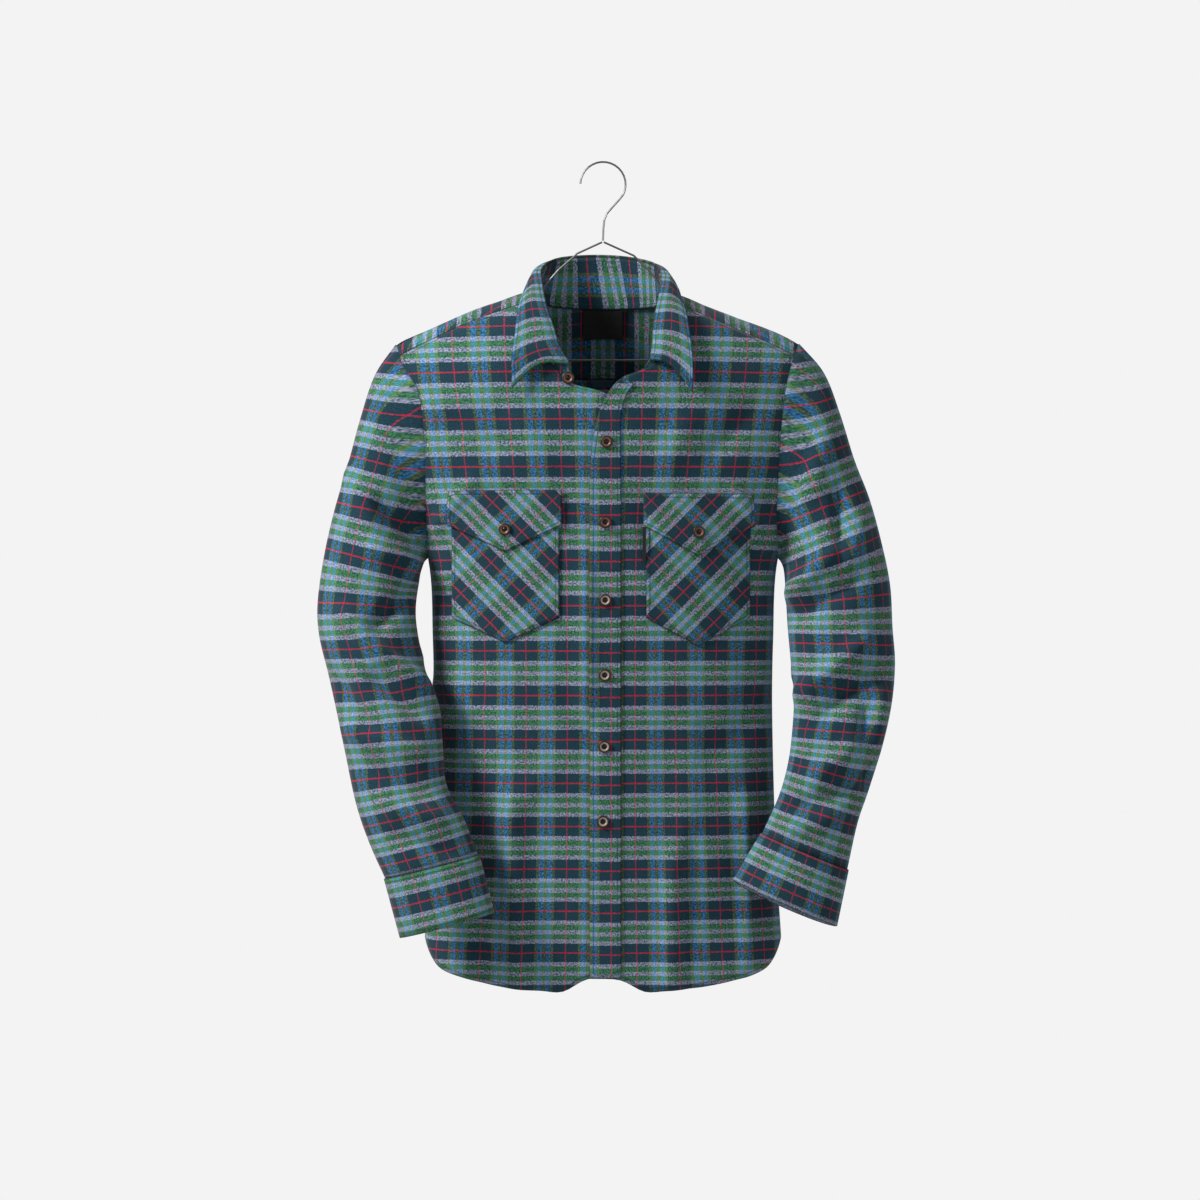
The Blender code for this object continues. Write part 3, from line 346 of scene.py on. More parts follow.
# soft creases: from (x1, z1) to (x2, z2), with a width and a height, on the front (-1) or the back (1)
creases = table("x1 z1 x2 z2 width amount face",
    (-0.020, -0.46, -0.019, -0.64, 0.010, 0.0022, -1), (0.040, -0.39, 0.052, -0.46, 0.010, -0.0018, -1),
    (-0.050, -0.62, -0.012, -0.68, 0.012, -0.0020, -1), (0.080, -0.80, 0.076, -0.96, 0.011, 0.0030, -1),
    (0.103, -0.78, 0.100, -0.96, 0.009, -0.0026, -1), (0.163, -0.74, 0.166, -0.95, 0.010, 0.0034, -1),
    (-0.108, -0.74, -0.096, -0.96, 0.013, 0.0028, -1), (-0.150, -0.86, -0.140, -0.95, 0.010, -0.0024, -1),
    (-0.178, -0.30, -0.120, -0.345, 0.012, -0.0020, -1), (0.175, -0.29, 0.120, -0.350, 0.013, -0.0020, -1),
    (-0.195, -0.43, -0.150, -0.375, 0.010, 0.0022, -1), (0.195, -0.45, 0.150, -0.385, 0.010, 0.0022, -1),
    (-0.100, -0.300, -0.060, -0.360, 0.014, 0.0018, -1), (0.100, -0.300, 0.070, -0.370, 0.014, 0.0018, -1),
    (-0.190, -0.60, -0.120, -0.66, 0.014, 0.0020, -1), (0.190, -0.62, 0.120, -0.70, 0.015, -0.0020, -1),
    (-0.060, -0.70, -0.120, -0.78, 0.013, 0.0016, -1), (0.060, -0.62, 0.110, -0.66, 0.012, 0.0016, -1),
    (-0.215, -0.44, -0.262, -0.400, 0.010, -0.0045, -1), (-0.213, -0.475, -0.270, -0.450, 0.009, 0.0040, -1),
    (-0.222, -0.50, -0.262, -0.545, 0.010, -0.0038, -1), (-0.300, -0.525, -0.255, -0.575, 0.010, 0.0050, -1),
    (-0.255, -0.575, -0.200, -0.615, 0.009, 0.0048, -1), (-0.265, -0.60, -0.205, -0.645, 0.010, -0.0050, -1),
    (-0.310, -0.60, -0.262, -0.66, 0.011, -0.0034, -1), (-0.290, -0.66, -0.205, -0.69, 0.010, 0.0036, -1),
    (-0.270, -0.70, -0.200, -0.735, 0.010, -0.0036, -1), (-0.250, -0.745, -0.185, -0.765, 0.009, 0.0034, -1),
    (-0.235, -0.78, -0.170, -0.800, 0.008, -0.0030, -1), (-0.300, -0.36, -0.262, -0.42, 0.012, 0.0030, -1),
    (0.272, -0.385, 0.273, -0.470, 0.009, -0.0045, -1), (0.213, -0.510, 0.270, -0.455, 0.010, 0.0055, -1),
    (0.222, -0.535, 0.290, -0.485, 0.010, -0.0045, -1), (0.300, -0.560, 0.222, -0.625, 0.010, 0.0055, -1),
    (0.322, -0.590, 0.240, -0.650, 0.010, -0.0050, -1), (0.318, -0.62, 0.300, -0.70, 0.010, 0.0045, -1),
    (0.300, -0.64, 0.306, -0.73, 0.008, -0.0045, -1), (0.285, -0.68, 0.240, -0.715, 0.010, 0.0036, -1),
    (0.290, -0.73, 0.220, -0.745, 0.009, -0.0036, -1), (0.265, -0.76, 0.205, -0.775, 0.008, 0.0030, -1),
    (0.255, -0.33, 0.235, -0.40, 0.012, 0.0030, -1), (0.300, -0.42, 0.262, -0.50, 0.011, 0.0030, -1),
    (-0.300, -0.55, -0.215, -0.58, 0.012, 0.0045, 1), (-0.300, -0.60, -0.215, -0.64, 0.012, -0.0045, 1),
    (0.320, -0.55, 0.225, -0.60, 0.012, 0.0045, 1), (0.320, -0.62, 0.230, -0.66, 0.012, -0.0045, 1),
    (-0.090, -0.26, -0.080, -0.60, 0.010, 0.0030, 1), (0.080, -0.26, 0.075, -0.56, 0.010, 0.0030, 1),
    (-0.160, -0.34, -0.100, -0.44, 0.012, -0.0030, 1), (0.160, -0.34, 0.105, -0.45, 0.012, -0.0030, 1),
    (0.000, -0.70, 0.015, -0.95, 0.014, 0.0030, 1), (-0.150, -0.62, -0.100, -0.70, 0.015, 0.0026, 1))


def refine(grid, factorRows, factorColumns):
    # a smooth finer grid through the given one
    for axis, factor in ((0, factorRows), (1, factorColumns)):
        grid = np.moveaxis(np.asarray(grid, float), axis, 0)
        if factor > 1:
            slopes = np.gradient(grid, axis=0)
            spots = np.linspace(0, len(grid) - 1, (len(grid) - 1) * factor + 1)
            low = np.clip(spots.astype(int), 0, len(grid) - 2)
            part = (spots - low).reshape(-1, *([1] * (grid.ndim - 1)))
            square, cube = part ** 2, part ** 3
            grid = ((2 * cube - 3 * square + 1) * grid[low] + (cube - 2 * square + part) * slopes[low]
                    + (3 * square - 2 * cube) * grid[low + 1] + (cube - square) * slopes[low + 1])
        grid = np.moveaxis(grid, 0, axis)
    return grid


def gridNormals(grid, closed=False):
    # the direction each point of a grid faces; a closed grid is a tube
    around = np.roll(grid, -1, axis=1) - np.roll(grid, 1, axis=1) if closed else np.gradient(grid, axis=1)
    normals = np.cross(around, np.gradient(grid, axis=0))
    return normals / np.maximum(np.linalg.norm(normals, axis=-1, keepdims=True), 1e-9)


def facesOut(grid, middle, closed=False):
    return np.sum(gridNormals(grid, closed) * (grid - np.array(middle))) >= 0


def outwardNormals(grid, middle, closed=False):
    return gridNormals(grid, closed) * (1 if facesOut(grid, middle, closed) else -1)


def spotGrid(spots):
    # the points on the body of a grid of spots
    return np.array([[tuple(bodyPoint(*spot)) for spot in row] for row in spots])


def creased(points, normals):
    # moves points along their normals where a crease passes
    moved = points.copy()
    for x1, z1, x2, z2, width, amount, face in zip(*creases.values()):
        start, run = np.array((x1, z1)), np.array((x2 - x1, z2 - z1))
        flat = points[..., (0, 2)] - start
        along = (flat @ run) / (run @ run)
        away = np.linalg.norm(flat - np.clip(along, 0, 1)[..., None] * run, axis=-1)
        beyond = np.maximum(np.abs(along - 0.5) - 0.25, 0) / 0.35
        facing = np.clip(normals[..., 1] * face * 1.6, 0, 1)
        lift = flannelLook["crease"] * amount * np.exp(-(away / width) ** 2 - beyond ** 2) * facing
        moved += normals * lift[..., None]
    return moved


def edgeDistance(grid, closed):
    # metres in from the nearest edge, and metres along
    def lengths(axis):
        steps = np.linalg.norm(np.diff(grid, axis=axis), axis=-1)
        first = np.zeros_like(steps.take([0], axis=axis))
        return np.concatenate([first, np.cumsum(steps, axis=axis)], axis=axis)

    down, across = lengths(0), lengths(1)
    inward = np.minimum(down, down[-1:] - down)
    if not closed:
        sides = np.minimum(across, across[:, -1:] - across)
        return np.stack([np.minimum(inward, sides), np.where(inward < sides, across, down)], -1)
    return np.stack([inward, across], -1)


def clothMaterial(name):
    made = bpy.data.materials.new(name)
    made.use_nodes = True
    nodes, links = made.node_tree.nodes, made.node_tree.links
    shader = nodes["Principled BSDF"]
    shader.inputs["Roughness"].default_value = flannelLook["roughness"]
    shader.inputs["Sheen Weight"].default_value = flannelLook["sheen"]
    shader.inputs["Sheen Roughness"].default_value = 0.6
    shader.inputs["Specular IOR Level"].default_value = 0.15
    uvMap = nodes.new("ShaderNodeUVMap")
    uvMap.uv_map = "weave"
    group = nodes.new("ShaderNodeGroup")
    group.node_tree = bpy.data.node_groups["plaidTwill"]
    links.new(uvMap.outputs["UV"], group.inputs["Place"])
    seamMap = nodes.new("ShaderNodeUVMap")
    seamMap.uv_map = "seams"
    links.new(seamMap.outputs["UV"], group.inputs["Seam"])
    links.new(group.outputs["Colour"], shader.inputs["Base Color"])
    bump = nodes.new("ShaderNodeBump")
    bump.inputs["Strength"].default_value = flannelLook["bump"]
    bump.inputs["Distance"].default_value = 0.0006
    links.new(group.outputs["Height"], bump.inputs["Height"])
    links.new(bump.outputs["Normal"], shader.inputs["Normal"])
    return made


def stripeRamp(nodes, stops):
    # one repeat of stripes as (start, colour, how much the stripe covers the other threads)
    ramps = nodes.new("ShaderNodeValToRGB")
    ramps.color_ramp.interpolation = "CONSTANT"
    while len(ramps.color_ramp.elements) > 1:
        ramps.color_ramp.elements.remove(ramps.color_ramp.elements[0])
    for number, (start, colour, cover) in enumerate(stops):
        stop = ramps.color_ramp.elements[0] if number == 0 else ramps.color_ramp.elements.new(start)
        stop.position = start
        stop.color = (*colour, cover)
    return ramps


def buildPlaid():
    # brushed twill check: weft bands by y, warp stripes by x, both counted in repeats from a red line
    teal, green, lavender = (0.008, 0.046, 0.070), (0.066, 0.270, 0.092), (0.40, 0.42, 0.58)
    olive, blue, red = (0.120, 0.180, 0.060), (0.045, 0.25, 0.56), (0.56, 0.013, 0.055)
    tree = bpy.data.node_groups.new("plaidTwill", "ShaderNodeTree")
    tree.interface.new_socket(name="Place", in_out="INPUT", socket_type="NodeSocketVector")
    tree.interface.new_socket(name="Seam", in_out="INPUT", socket_type="NodeSocketVector")
    tree.interface.new_socket(name="Colour", in_out="OUTPUT", socket_type="NodeSocketColor")
    tree.interface.new_socket(name="Height", in_out="OUTPUT", socket_type="NodeSocketFloat")
    nodes, links = tree.nodes, tree.links
    inside, outside = nodes.new("NodeGroupInput"), nodes.new("NodeGroupOutput")

    def join(kind, first, second=None, third=None):
        node = nodes.new("ShaderNodeMath")
        node.operation = kind
        for socket, value in zip(node.inputs, (first, second, third)):
            if value is None:
                continue
            if isinstance(value, (int, float)):
                socket.default_value = value
            else:
                links.new(value, socket)
        return node.outputs[0]

    def blend(factor, low, high, kind="MIX"):
        node = nodes.new("ShaderNodeMix")
        node.data_type = "RGBA"
        node.blend_type = kind
        for socket, value in ((node.inputs[0], factor), (node.inputs[6], low), (node.inputs[7], high)):
            if isinstance(value, (int, float)):
                socket.default_value = value
            elif isinstance(value, tuple):
                socket.default_value = (*value, 1)
            else:
                links.new(value, socket)
        return node.outputs[2]

    def noise(scale, detail, stretch=(1, 1, 1)):
        mapping = nodes.new("ShaderNodeMapping")
        mapping.inputs["Scale"].default_value = stretch
        links.new(inside.outputs["Place"], mapping.inputs["Vector"])
        made = nodes.new("ShaderNodeTexNoise")
        made.inputs["Scale"].default_value = scale
        made.inputs["Detail"].default_value = detail
        links.new(mapping.outputs["Vector"], made.inputs["Vector"])
        return made.outputs["Fac"]

    parts = nodes.new("ShaderNodeSeparateXYZ")
    links.new(inside.outputs["Place"], parts.inputs[0])

    def strayed(along, stretch):
        # the place in the repeat, with a brushed and slightly wandering edge
        stray = join("SUBTRACT", noise(40, 3, stretch), 0.5)
        return join("FRACT", join("MULTIPLY_ADD", stray, flannelLook["strayed"], along))

    weft = stripeRamp(nodes, [(0.0, red, 1), (0.015, teal, 0), (0.225, lavender, 0), (0.326, green, 0),
                              (0.454, lavender, 0), (0.555, green, 0), (0.674, lavender, 0), (0.775, teal, 0),
                              (0.985, red, 1)])
    warp = stripeRamp(nodes, [(0.0, red, 1), (0.011, teal, 0), (0.285, olive, 0), (0.352, blue, 0),
                              (0.461, olive, 0), (0.544, blue, 0), (0.653, olive, 0), (0.715, teal, 0),
                              (0.989, red, 1)])
    links.new(strayed(parts.outputs[1], (1, 0.35, 1)), weft.inputs[0])
    links.new(strayed(parts.outputs[0], (0.35, 1, 1)), warp.inputs[0])
    heather = noise(24, 4)
    uneven = join("SUBTRACT", heather, 0.5)
    share = join("MULTIPLY_ADD", uneven, flannelLook["heather"], flannelLook["threadShare"])
    share = join("MINIMUM", join("MAXIMUM", share, 0.12), 0.92)
    colour = blend(share, warp.outputs["Color"], weft.outputs["Color"])
    for threads, cover in ((warp, flannelLook["redWarp"]), (weft, flannelLook["redWeft"])):
        colour = blend(join("MULTIPLY", threads.outputs["Alpha"], cover), colour, threads.outputs["Color"])
    speck = join("MULTIPLY_ADD", noise(38, 5), flannelLook["speckle"], -0.32)
    cloudy = join("MULTIPLY_ADD", noise(2.2, 3), flannelLook["cloudiness"], 0.85)
    tone = nodes.new("ShaderNodeCombineColor")
    both = join("MULTIPLY", speck, cloudy)
    for socket in tone.inputs:
        links.new(both, socket)
    colour = blend(1.0, colour, tone.outputs[0], "MULTIPLY")
    seam = nodes.new("ShaderNodeSeparateXYZ")           # x in from the edge, y along it
    links.new(inside.outputs["Seam"], seam.inputs[0])
    counted = join("MULTIPLY", seam.outputs[1], flannelLook["stitchesPerMetre"])
    dash = join("GREATER_THAN", join("FRACT", counted), 0.35)
    fromLine = join("ABSOLUTE", join("SUBTRACT", seam.outputs[0], flannelLook["stitchIn"]))
    line = join("LESS_THAN", fromLine, 0.0004)
    # painted shade: a band about 1.8 mm wide along each stitch line, darkened below as the shade in the
    # groove the stitches pull into the cloth
    stitchGrooveShade = join("LESS_THAN", fromLine, 0.0009)
    # painted shade: the last millimetre in from every edge of a sheet, darkened below as the shade along its
    # edges, such as the flaps' outlines
    rim = join("LESS_THAN", seam.outputs[0], 0.0010)
    # the stitch groove's painted shade, 35% of the way to near-black
    colour = blend(join("MULTIPLY", stitchGrooveShade, 0.35), colour, (0.004, 0.012, 0.018))
    colour = blend(join("MULTIPLY", join("MULTIPLY", line, dash), 0.5), colour, (0.02, 0.06, 0.085))
    # the edges' painted shade, 55% of the way to near-black
    colour = blend(join("MULTIPLY", rim, 0.55), colour, (0.004, 0.014, 0.020))
    links.new(colour, outside.inputs["Colour"])
    diagonal = join("ADD", parts.outputs[0], parts.outputs[1])
    twill = join("SINE", join("MULTIPLY", diagonal, flannelLook["twillLines"]))
    links.new(join("MULTIPLY_ADD", twill, flannelLook["twillDepth"], heather), outside.inputs["Height"])


def roundLengths():
    # distance round the body from the front's middle, for each turn up to the back's middle
    turns = np.linspace(0, math.pi, 721)
    power = 2 / shirt["roundness"]
    halfWidth, halfDepth = 0.2, -0.075
    edge = np.stack([halfWidth * np.abs(np.sin(turns)) ** power,
                     halfDepth * np.sign(np.cos(turns)) * np.abs(np.cos(turns)) ** power], -1)
    steps = np.diff(edge, axis=0)
    longest = np.maximum(np.abs(steps[:, 0]), 0.8 * np.linalg.norm(steps, axis=1))
    return turns, np.concatenate([[0], np.cumsum(longest)])


roundTurns, roundDistances = roundLengths()


def acrossCloth(turn):
    # distance round the body from the front's middle
    folded = (turn + math.pi) % (2 * math.pi) - math.pi
    return np.sign(folded) * np.interp(np.abs(folded), roundTurns, roundDistances)


def repeatsDown(z):
    # weft repeats below the first red line of the chest
    low = -0.3043 - z
    return 18.15 * low + 2.3 * np.abs(low) * low


def weaveMesh(name, grids, places, closed, flipped):
    # the grids as one mesh, with its weave places and its distances from the edges
    points, quads, start = [], [], 0
    for grid in grids:
        rows, count = grid.shape[:2]
        points.append(grid.reshape(-1, 3))
        quads += [tuple(start + spot for spot in quad) for quad in gridQuads(rows, count, closed)]
        start += rows * count
    mesh = bpy.data.meshes.new(name)
    mesh.from_pydata([tuple(point) for point in np.concatenate(points)], [], quads)
    ends = np.array([loop.vertex_index for loop in mesh.loops])
    weave = np.concatenate([place.reshape(-1, 2) for place in places])
    values = weave[ends].reshape(-1, 4, 2)
    if closed:                            # the last column of faces goes on counting, not back to the first
        wholeRound = weave[count - 1, 0] + weave[1, 0] - 2 * weave[0, 0]
        for corner in (1, 2):
            atSeam = np.array([quad[corner] % count == 0 for quad in quads])
            values[atSeam, corner, 0] += wholeRound
    mesh.uv_layers.new(name="weave").data.foreach_set("uv", values.astype(np.float32).ravel())
    edges = np.concatenate([edgeDistance(grid, closed).reshape(-1, 2) for grid in grids])
    mesh.uv_layers.new(name="seams").data.foreach_set("uv", edges[ends].astype(np.float32).ravel())
    if flipped:
        mesh.flip_normals()
    return mesh


def clothPiece(name, grids, places, material, node, flat, closed=False, flipped=False,
               wall=flannelLook["wall"], rests=("hanger_arm_right", "hanger_arm_left"), bend=True):
    # one sheet of cloth from grids of points and weave places; several grids are welded into one
    if bend:
        grids = [creased(grid, outwardNormals(grid, grid.mean(axis=(0, 1)), closed)) for grid in grids]
    piece = bpy.data.objects.new(name, weaveMesh(name, grids, places, closed, flipped))
    bpy.context.scene.collection.objects.link(piece)
    bpy.ops.object.select_all(action="DESELECT")
    piece.select_set(True)
    bpy.context.view_layer.objects.active = piece
    if len(grids) > 1:
        weld = piece.modifiers.new("weld", "WELD")
        weld.merge_threshold = 0.00005
        bpy.ops.object.modifier_apply(modifier="weld")
    solid = piece.modifiers.new("wall", "SOLIDIFY")
    solid.thickness = wall
    solid.offset = -1
    bpy.ops.object.modifier_apply(modifier="wall")
    piece.data.shade_smooth()
    piece.data.materials.append(material)
    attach(piece, "root")
    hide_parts(node)
    print("made", name)


bodyMiddle = (0, 0, -0.5)


def bodySheet(name, spots, lift, placeOf, material, node, flat, finer=(5, 4), **rest):
    # a sheet on the body made from its spots, moved out by lift
    fine = refine(spots, *finer)
    grid = spotGrid(fine)
    outwards = facesOut(grid, bodyMiddle)
    if lift is not None:
        grid = grid + outwardNormals(grid, bodyMiddle) * lift(grid)
    clothPiece(name, [grid], [placeOf(fine, grid)], material, node, flat, flipped=not outwards, **rest)


def frontSpots(side):
    # rows from the yoke seam down: armhole to neck edge, then side seam to front edge
    word = "left" if side > 0 else "right"
    steps = armSteps[frontSeamStep:]
    inner = list(zip(neck[word + "_x"], neck[word + "_z"]))
    inner += list(zip(frontEdge[word + "_x"], frontEdge[word + "_z"]))
    outer = [armholeSpot(side, step) for step in steps]
    edgeX = frontEdges[side]
    start = inner[-1][1]
    for k in range(1, sideRows + 1):
        part = k / sideRows
        outer.append((side * math.pi / 2, shirt["underarm"] + (shirt["hemSide"] - shirt["underarm"]) * part))
        inner.append((edgeX, start + (hemHeight(0) - start) * part))
    middleDrop = hemHeight(0) - shirt["hemSide"]
    rows = []
    for number, (outSpot, inSpot) in enumerate(zip(outer, inner)):
        row = ruledRow(outSpot, (turnAt(*inSpot), inSpot[1]), frontColumns)
        down = ramp(0, 1, (number - len(steps) + 1) / sideRows) if number >= len(steps) else 0.0
        if number == 0:
            row = [seamSpot(side, k / frontColumns, inSpot) for k in range(frontColumns + 1)]
        rows.append([(turn, z + down * (hemHeight(turn) - shirt["hemSide"] - middleDrop * k / frontColumns))
                     for k, (turn, z) in enumerate(row)])
    return rows


def backSpots():
    # rows from the yoke's back seam down to the hem, from -X to +X
    rows = [backSeam()]
    for step in armSteps[backSeamStep + 1:]:
        right, left = armholeSpot(-1, -step), armholeSpot(1, -step)
        start = right[0] % (2 * math.pi)
        rows.append([(start + (left[0] - start) * k / backColumns, right[1]) for k in range(backColumns + 1)])
    for row in range(1, sideRows + 1):
        part = row / sideRows
        level = shirt["underarm"] + (shirt["hemSide"] - shirt["underarm"]) * part
        spots = []
        for k in range(backColumns + 1):
            turn = 1.5 * math.pi - math.pi * k / backColumns
            hem = shirt["hemSide"] if k in (0, backColumns) else hemHeight(math.pi - turn) + 0.004
            spots.append((turn, level + ramp(0, 1, part) * (hem - shirt["hemSide"])))
        rows.append(spots)
    return rows


def yokeSpots():
    # the back patch, then a strip over each shoulder, right and left
    tops, seam = yokeTops(), backSeam()
    main = []
    for row in range(yokeRows + 1):
        part = row / yokeRows
        line = []
        for k, (topX, topZ) in enumerate(tops):
            low = bodyPoint(*seam[k])
            x = low.x + (topX - low.x) * part
            (lowAngle, extra), (topAngle, _) = rollAngle(low.x, low.z), rollAngle(topX, topZ)
            if k in (0, backColumns):
                step = armSteps[backSeamStep - row] if row < backSeamStep else 0.001
                line.append(armholeSpot(-1 if k == 0 else 1, -step))
            else:
                line.append(rolledSpot(x, lowAngle + (topAngle - lowAngle) * part, extra * (1 - part), 1))
        main.append([(turn % (2 * math.pi), z) for turn, z in line])
    patches = [main]
    quarter = backColumns // 4
    for side in (-1, 1):
        word = "left" if side > 0 else "right"
        neckSpot = (neck[word + "_x"][0], neck[word + "_z"][0])
        lines = []
        for row in range(frontSeamStep + 1):
            line = []
            for k in range(quarter + 1):
                outward = k / quarter
                seamTurn, seamZ = seamSpot(side, 1 - outward, neckSpot)
                seamX = bodyPoint(seamTurn, seamZ).x
                angle, _ = rollAngle(seamX, seamZ)
                topX = tops[backColumns - quarter + k][0] if side > 0 else tops[quarter - k][0]
                part = row / frontSeamStep
                x = topX + (seamX - topX) * part
                line.append(armholeSpot(side, armSteps[row]) if outward == 1
                            else rolledSpot(x, angle * part, 0.0, -1))
            lines.append(line)
        patches.append(lines)
    return patches


panels = {"redLine": {-1: -0.0414, 1: 0.0368},       # across the cloth to a red warp line of each front
          "repeat": {-1: 0.0480, 1: 0.0472},
          "frontCut": (0.30, 0.78), "backCut": (0.53, 0.70)}
yokeCut = {"cut": (0.47, 0.135), "wall": 0.002, "repeat": 0.052}


def makePanels(flannel):
    def onBody(redLine, repeat):
        return lambda fine, grid: np.stack([(acrossCloth(fine[..., 0]) - redLine) / repeat,
                                            repeatsDown(grid[..., 2])], -1)

    for name, side, lift, node in (("shirtFrontRight", -1, None, "front_right"),
                                   ("shirtFrontLeft", 1, overlapLift, "front_left")):
        placeOf = onBody(panels["redLine"][side], panels["repeat"][side])
        bodySheet(name, frontSpots(side), lift, placeOf, flannel, node, panels["frontCut"])
    bodySheet("shirtBack", backSpots(), None, onBody(0.0, flannelLook["warpPeriod"]), flannel, "back",
              panels["backCut"])


def makeYoke(flannel):
    # the back patch and a strip over each shoulder, cut across the cloth and welded
    grids, places = [], []
    for number, patch in enumerate(yokeSpots()):
        grid = spotGrid(refine(patch, 6, 5))
        down = grid[..., 1] / flannelLook["warpPeriod"] + repeatsDown(grid[..., 2]) * 0.6
        place = np.stack([down, grid[..., 0] / yokeCut["repeat"] + 0.5], -1)
        if number == 1:                              # the right strip runs the other way
            grid, place = grid[:, ::-1], place[:, ::-1]
        if not facesOut(grid, bodyMiddle):
            grid, place = grid[::-1], place[::-1]
        grids.append(grid)
        places.append(place)
    clothPiece("shirtYoke", grids, places, flannel, "yoke", yokeCut["cut"], wall=yokeCut["wall"])


band = {"cut": (0.0365, 0.69), "wall": 0.0014, "redLine": 0.0092, "repeat": 0.0475,
        "taper": (0.014, 0.020, 0.027, 0.034)}       # widths of the first rows, where it narrows to the neck


def makePlacket(flannel):
    wide = band["cut"][0]
    edge = list(zip(frontEdge["left_x"], frontEdge["left_z"]))
    start = edge[-1][1]
    edge += [(frontEdges[1], start + (hemHeight(0) - start) * k / 16) for k in range(1, 17)]
    rows = []
    for (x, z), width in zip(edge, band["taper"] + (wide,) * 16):
        slope = (wide - width) * 0.3
        rows.append([(turnAt(x + width * k / 4, z - slope * k / 4), z - slope * k / 4) for k in range(5)])

    def place(fine, grid):
        across = (grid[..., 0] - band["redLine"]) / band["repeat"]
        return np.stack([across, repeatsDown(grid[..., 2] + 0.002)], -1)

    def lift(points):
        return overlapLift(points) + shirt["lay"] + shirt["cloth"]

    bodySheet("shirtPlacket", rows, lift, place, flannel, "placket", band["cut"], finer=(6, 4),
              wall=band["wall"], rests=["shirtFrontLeft"])


pocketLook = {"pocketCut": (0.124, 0.150), "flapCut": (0.128, 0.060), "flapWall": 0.0015, "overhang": 0.003,
              "repeats": (0.0478, 0.050), "starts": (0.3, 0.2)}


def pointedSpots(first, last, high, low, tip):
    # rows from a pointed foot up to a straight top edge
    middle = (first + last) / 2
    rows = []
    for part in np.linspace(0, 1, 7):
        row = []
        for k in range(13):
            x = first + (last - first) * k / 12
            foot = tip + (low - tip) * abs(x - middle) / abs(last - middle)
            z = foot + (high - foot) * part
            row.append((turnAt(x, z), z))
        rows.append(row)
    return rows


def makePockets(flannel):
    layer = shirt["lay"] + shirt["cloth"]
    for side, inner, outer, top, bottom, point, flapTop, flapLow, flapPoint in zip(*pocket.values()):
        word = "Left" if side > 0 else "Right"
        first, last = (inner, outer) if side > 0 else (-outer, -inner)

        def standOff(layers):
            return lambda points: (overlapLift(points) if side > 0 else 0) + layers * layer

        def onBias(fine, grid):
            x, z = (grid[..., 0] - (first + last) / 2) * side, grid[..., 2] + 0.50
            return np.stack([way * math.sqrt(0.5) / repeat + start for way, repeat, start in
                             zip((x + z, x - z), pocketLook["repeats"], pocketLook["starts"])], -1)

        bodySheet("shirtPocket" + word, pointedSpots(first, last, top, bottom, point), standOff(1), onBias,
                  flannel, "pocket_" + word.lower(), pocketLook["pocketCut"], finer=(4, 4),
                  rests=["shirtFront" + word])
        over = pocketLook["overhang"]
        flap = pointedSpots(first - over, last + over, flapTop, flapLow, flapPoint)
        bodySheet("shirtFlap" + word, flap, standOff(2), onBias, flannel, "flap_" + word.lower(),
                  pocketLook["flapCut"], finer=(4, 4), wall=pocketLook["flapWall"],
                  rests=["shirtPocket" + word])


arm = {"sleeveCut": (0.345, 0.56), "cuffCut": (0.27, 0.066), "cuffWall": 0.0022,
       "round": 0.336,
       "repeat": 0.048, "start": 0.3,
       "level": -0.475,                  # the check's height where the sleeve leaves the body
       "levelRow": 5, "tuck": 0.0026, "tuckIn": 0.004,
       "cuffOut": 0.0008}
roundSteps = np.linspace(0, 360, 96, endpoint=False)


def sleeveGrid(side, lines):
    # the sleeve's rings, with one more tucked in behind the armhole
    tucked = []
    for step in roundSteps:
        spot = armholeSpot(side, step if step <= 180 else step - 360)
        inward = Vector((side * arm["tuckIn"], 0, 0))
        tucked.append(tuple(bodyPoint(*spot) - bodyNormal(*spot) * arm["tuck"] - inward))
    return np.concatenate([[tucked], refine(lines, 6, 1)])


def makeSleeves(flannel):
    for side, rows, word in ((-1, sleeveRight, "Right"), (1, sleeveLeft, "Left")):
        last = len(rows["outer_x"]) - 1
        lines = [[tuple(bodyPoint(*armholeSpot(side, a if a <= 180 else a - 360))) for a in roundSteps]]
        lines += [[tuple(ring(rows, row, a)) for a in roundSteps] for row in range(last)]
        grid = sleeveGrid(side, lines)
        middles = grid.mean(axis=1)
        along = np.concatenate([[0], np.cumsum(np.linalg.norm(np.diff(middles, axis=0), axis=1))])
        levelRow = arm["levelRow"] * 6 + 1
        down = grid[..., 2] - grid[levelRow, :, 2]                  # level with the body's check above
        down[levelRow:] = (along[levelRow] - along[levelRow:])[:, None]
        down += arm["level"]
        around = roundSteps / 360 * arm["round"] * side / arm["repeat"] + arm["start"]
        place = np.stack([np.tile(around, (len(grid), 1)), repeatsDown(down)], -1)
        clothPiece("shirtSleeve" + word, [grid], [place], flannel, "sleeve_" + word.lower(), arm["sleeveCut"],
                   closed=True, flipped=side > 0, rests=["shirtYoke"])

        seam = lines[-1]
        mouth = [tuple(ring(rows, last, a, cuffBackDrop[side])) for a in roundSteps]
        cuff = refine([seam, (np.array(seam) + np.array(mouth)) / 2, mouth], 6, 1)
        share = np.linspace(0, 1, len(cuff))[:, None]
        place = np.stack([np.tile(around, (len(cuff), 1)),
                          repeatsDown(down[-1:] - arm["cuffCut"][1] * share)], -1)
        cuff = cuff + outwardNormals(cuff, cuff.mean(axis=(0, 1)), True) * arm["cuffOut"]
        clothPiece("shirtCuff" + word, [cuff], [place], flannel, "cuff_" + word.lower(), arm["cuffCut"],
                   closed=True, flipped=side > 0, wall=arm["cuffWall"], rests=["shirtSleeve" + word],
                   bend=False)


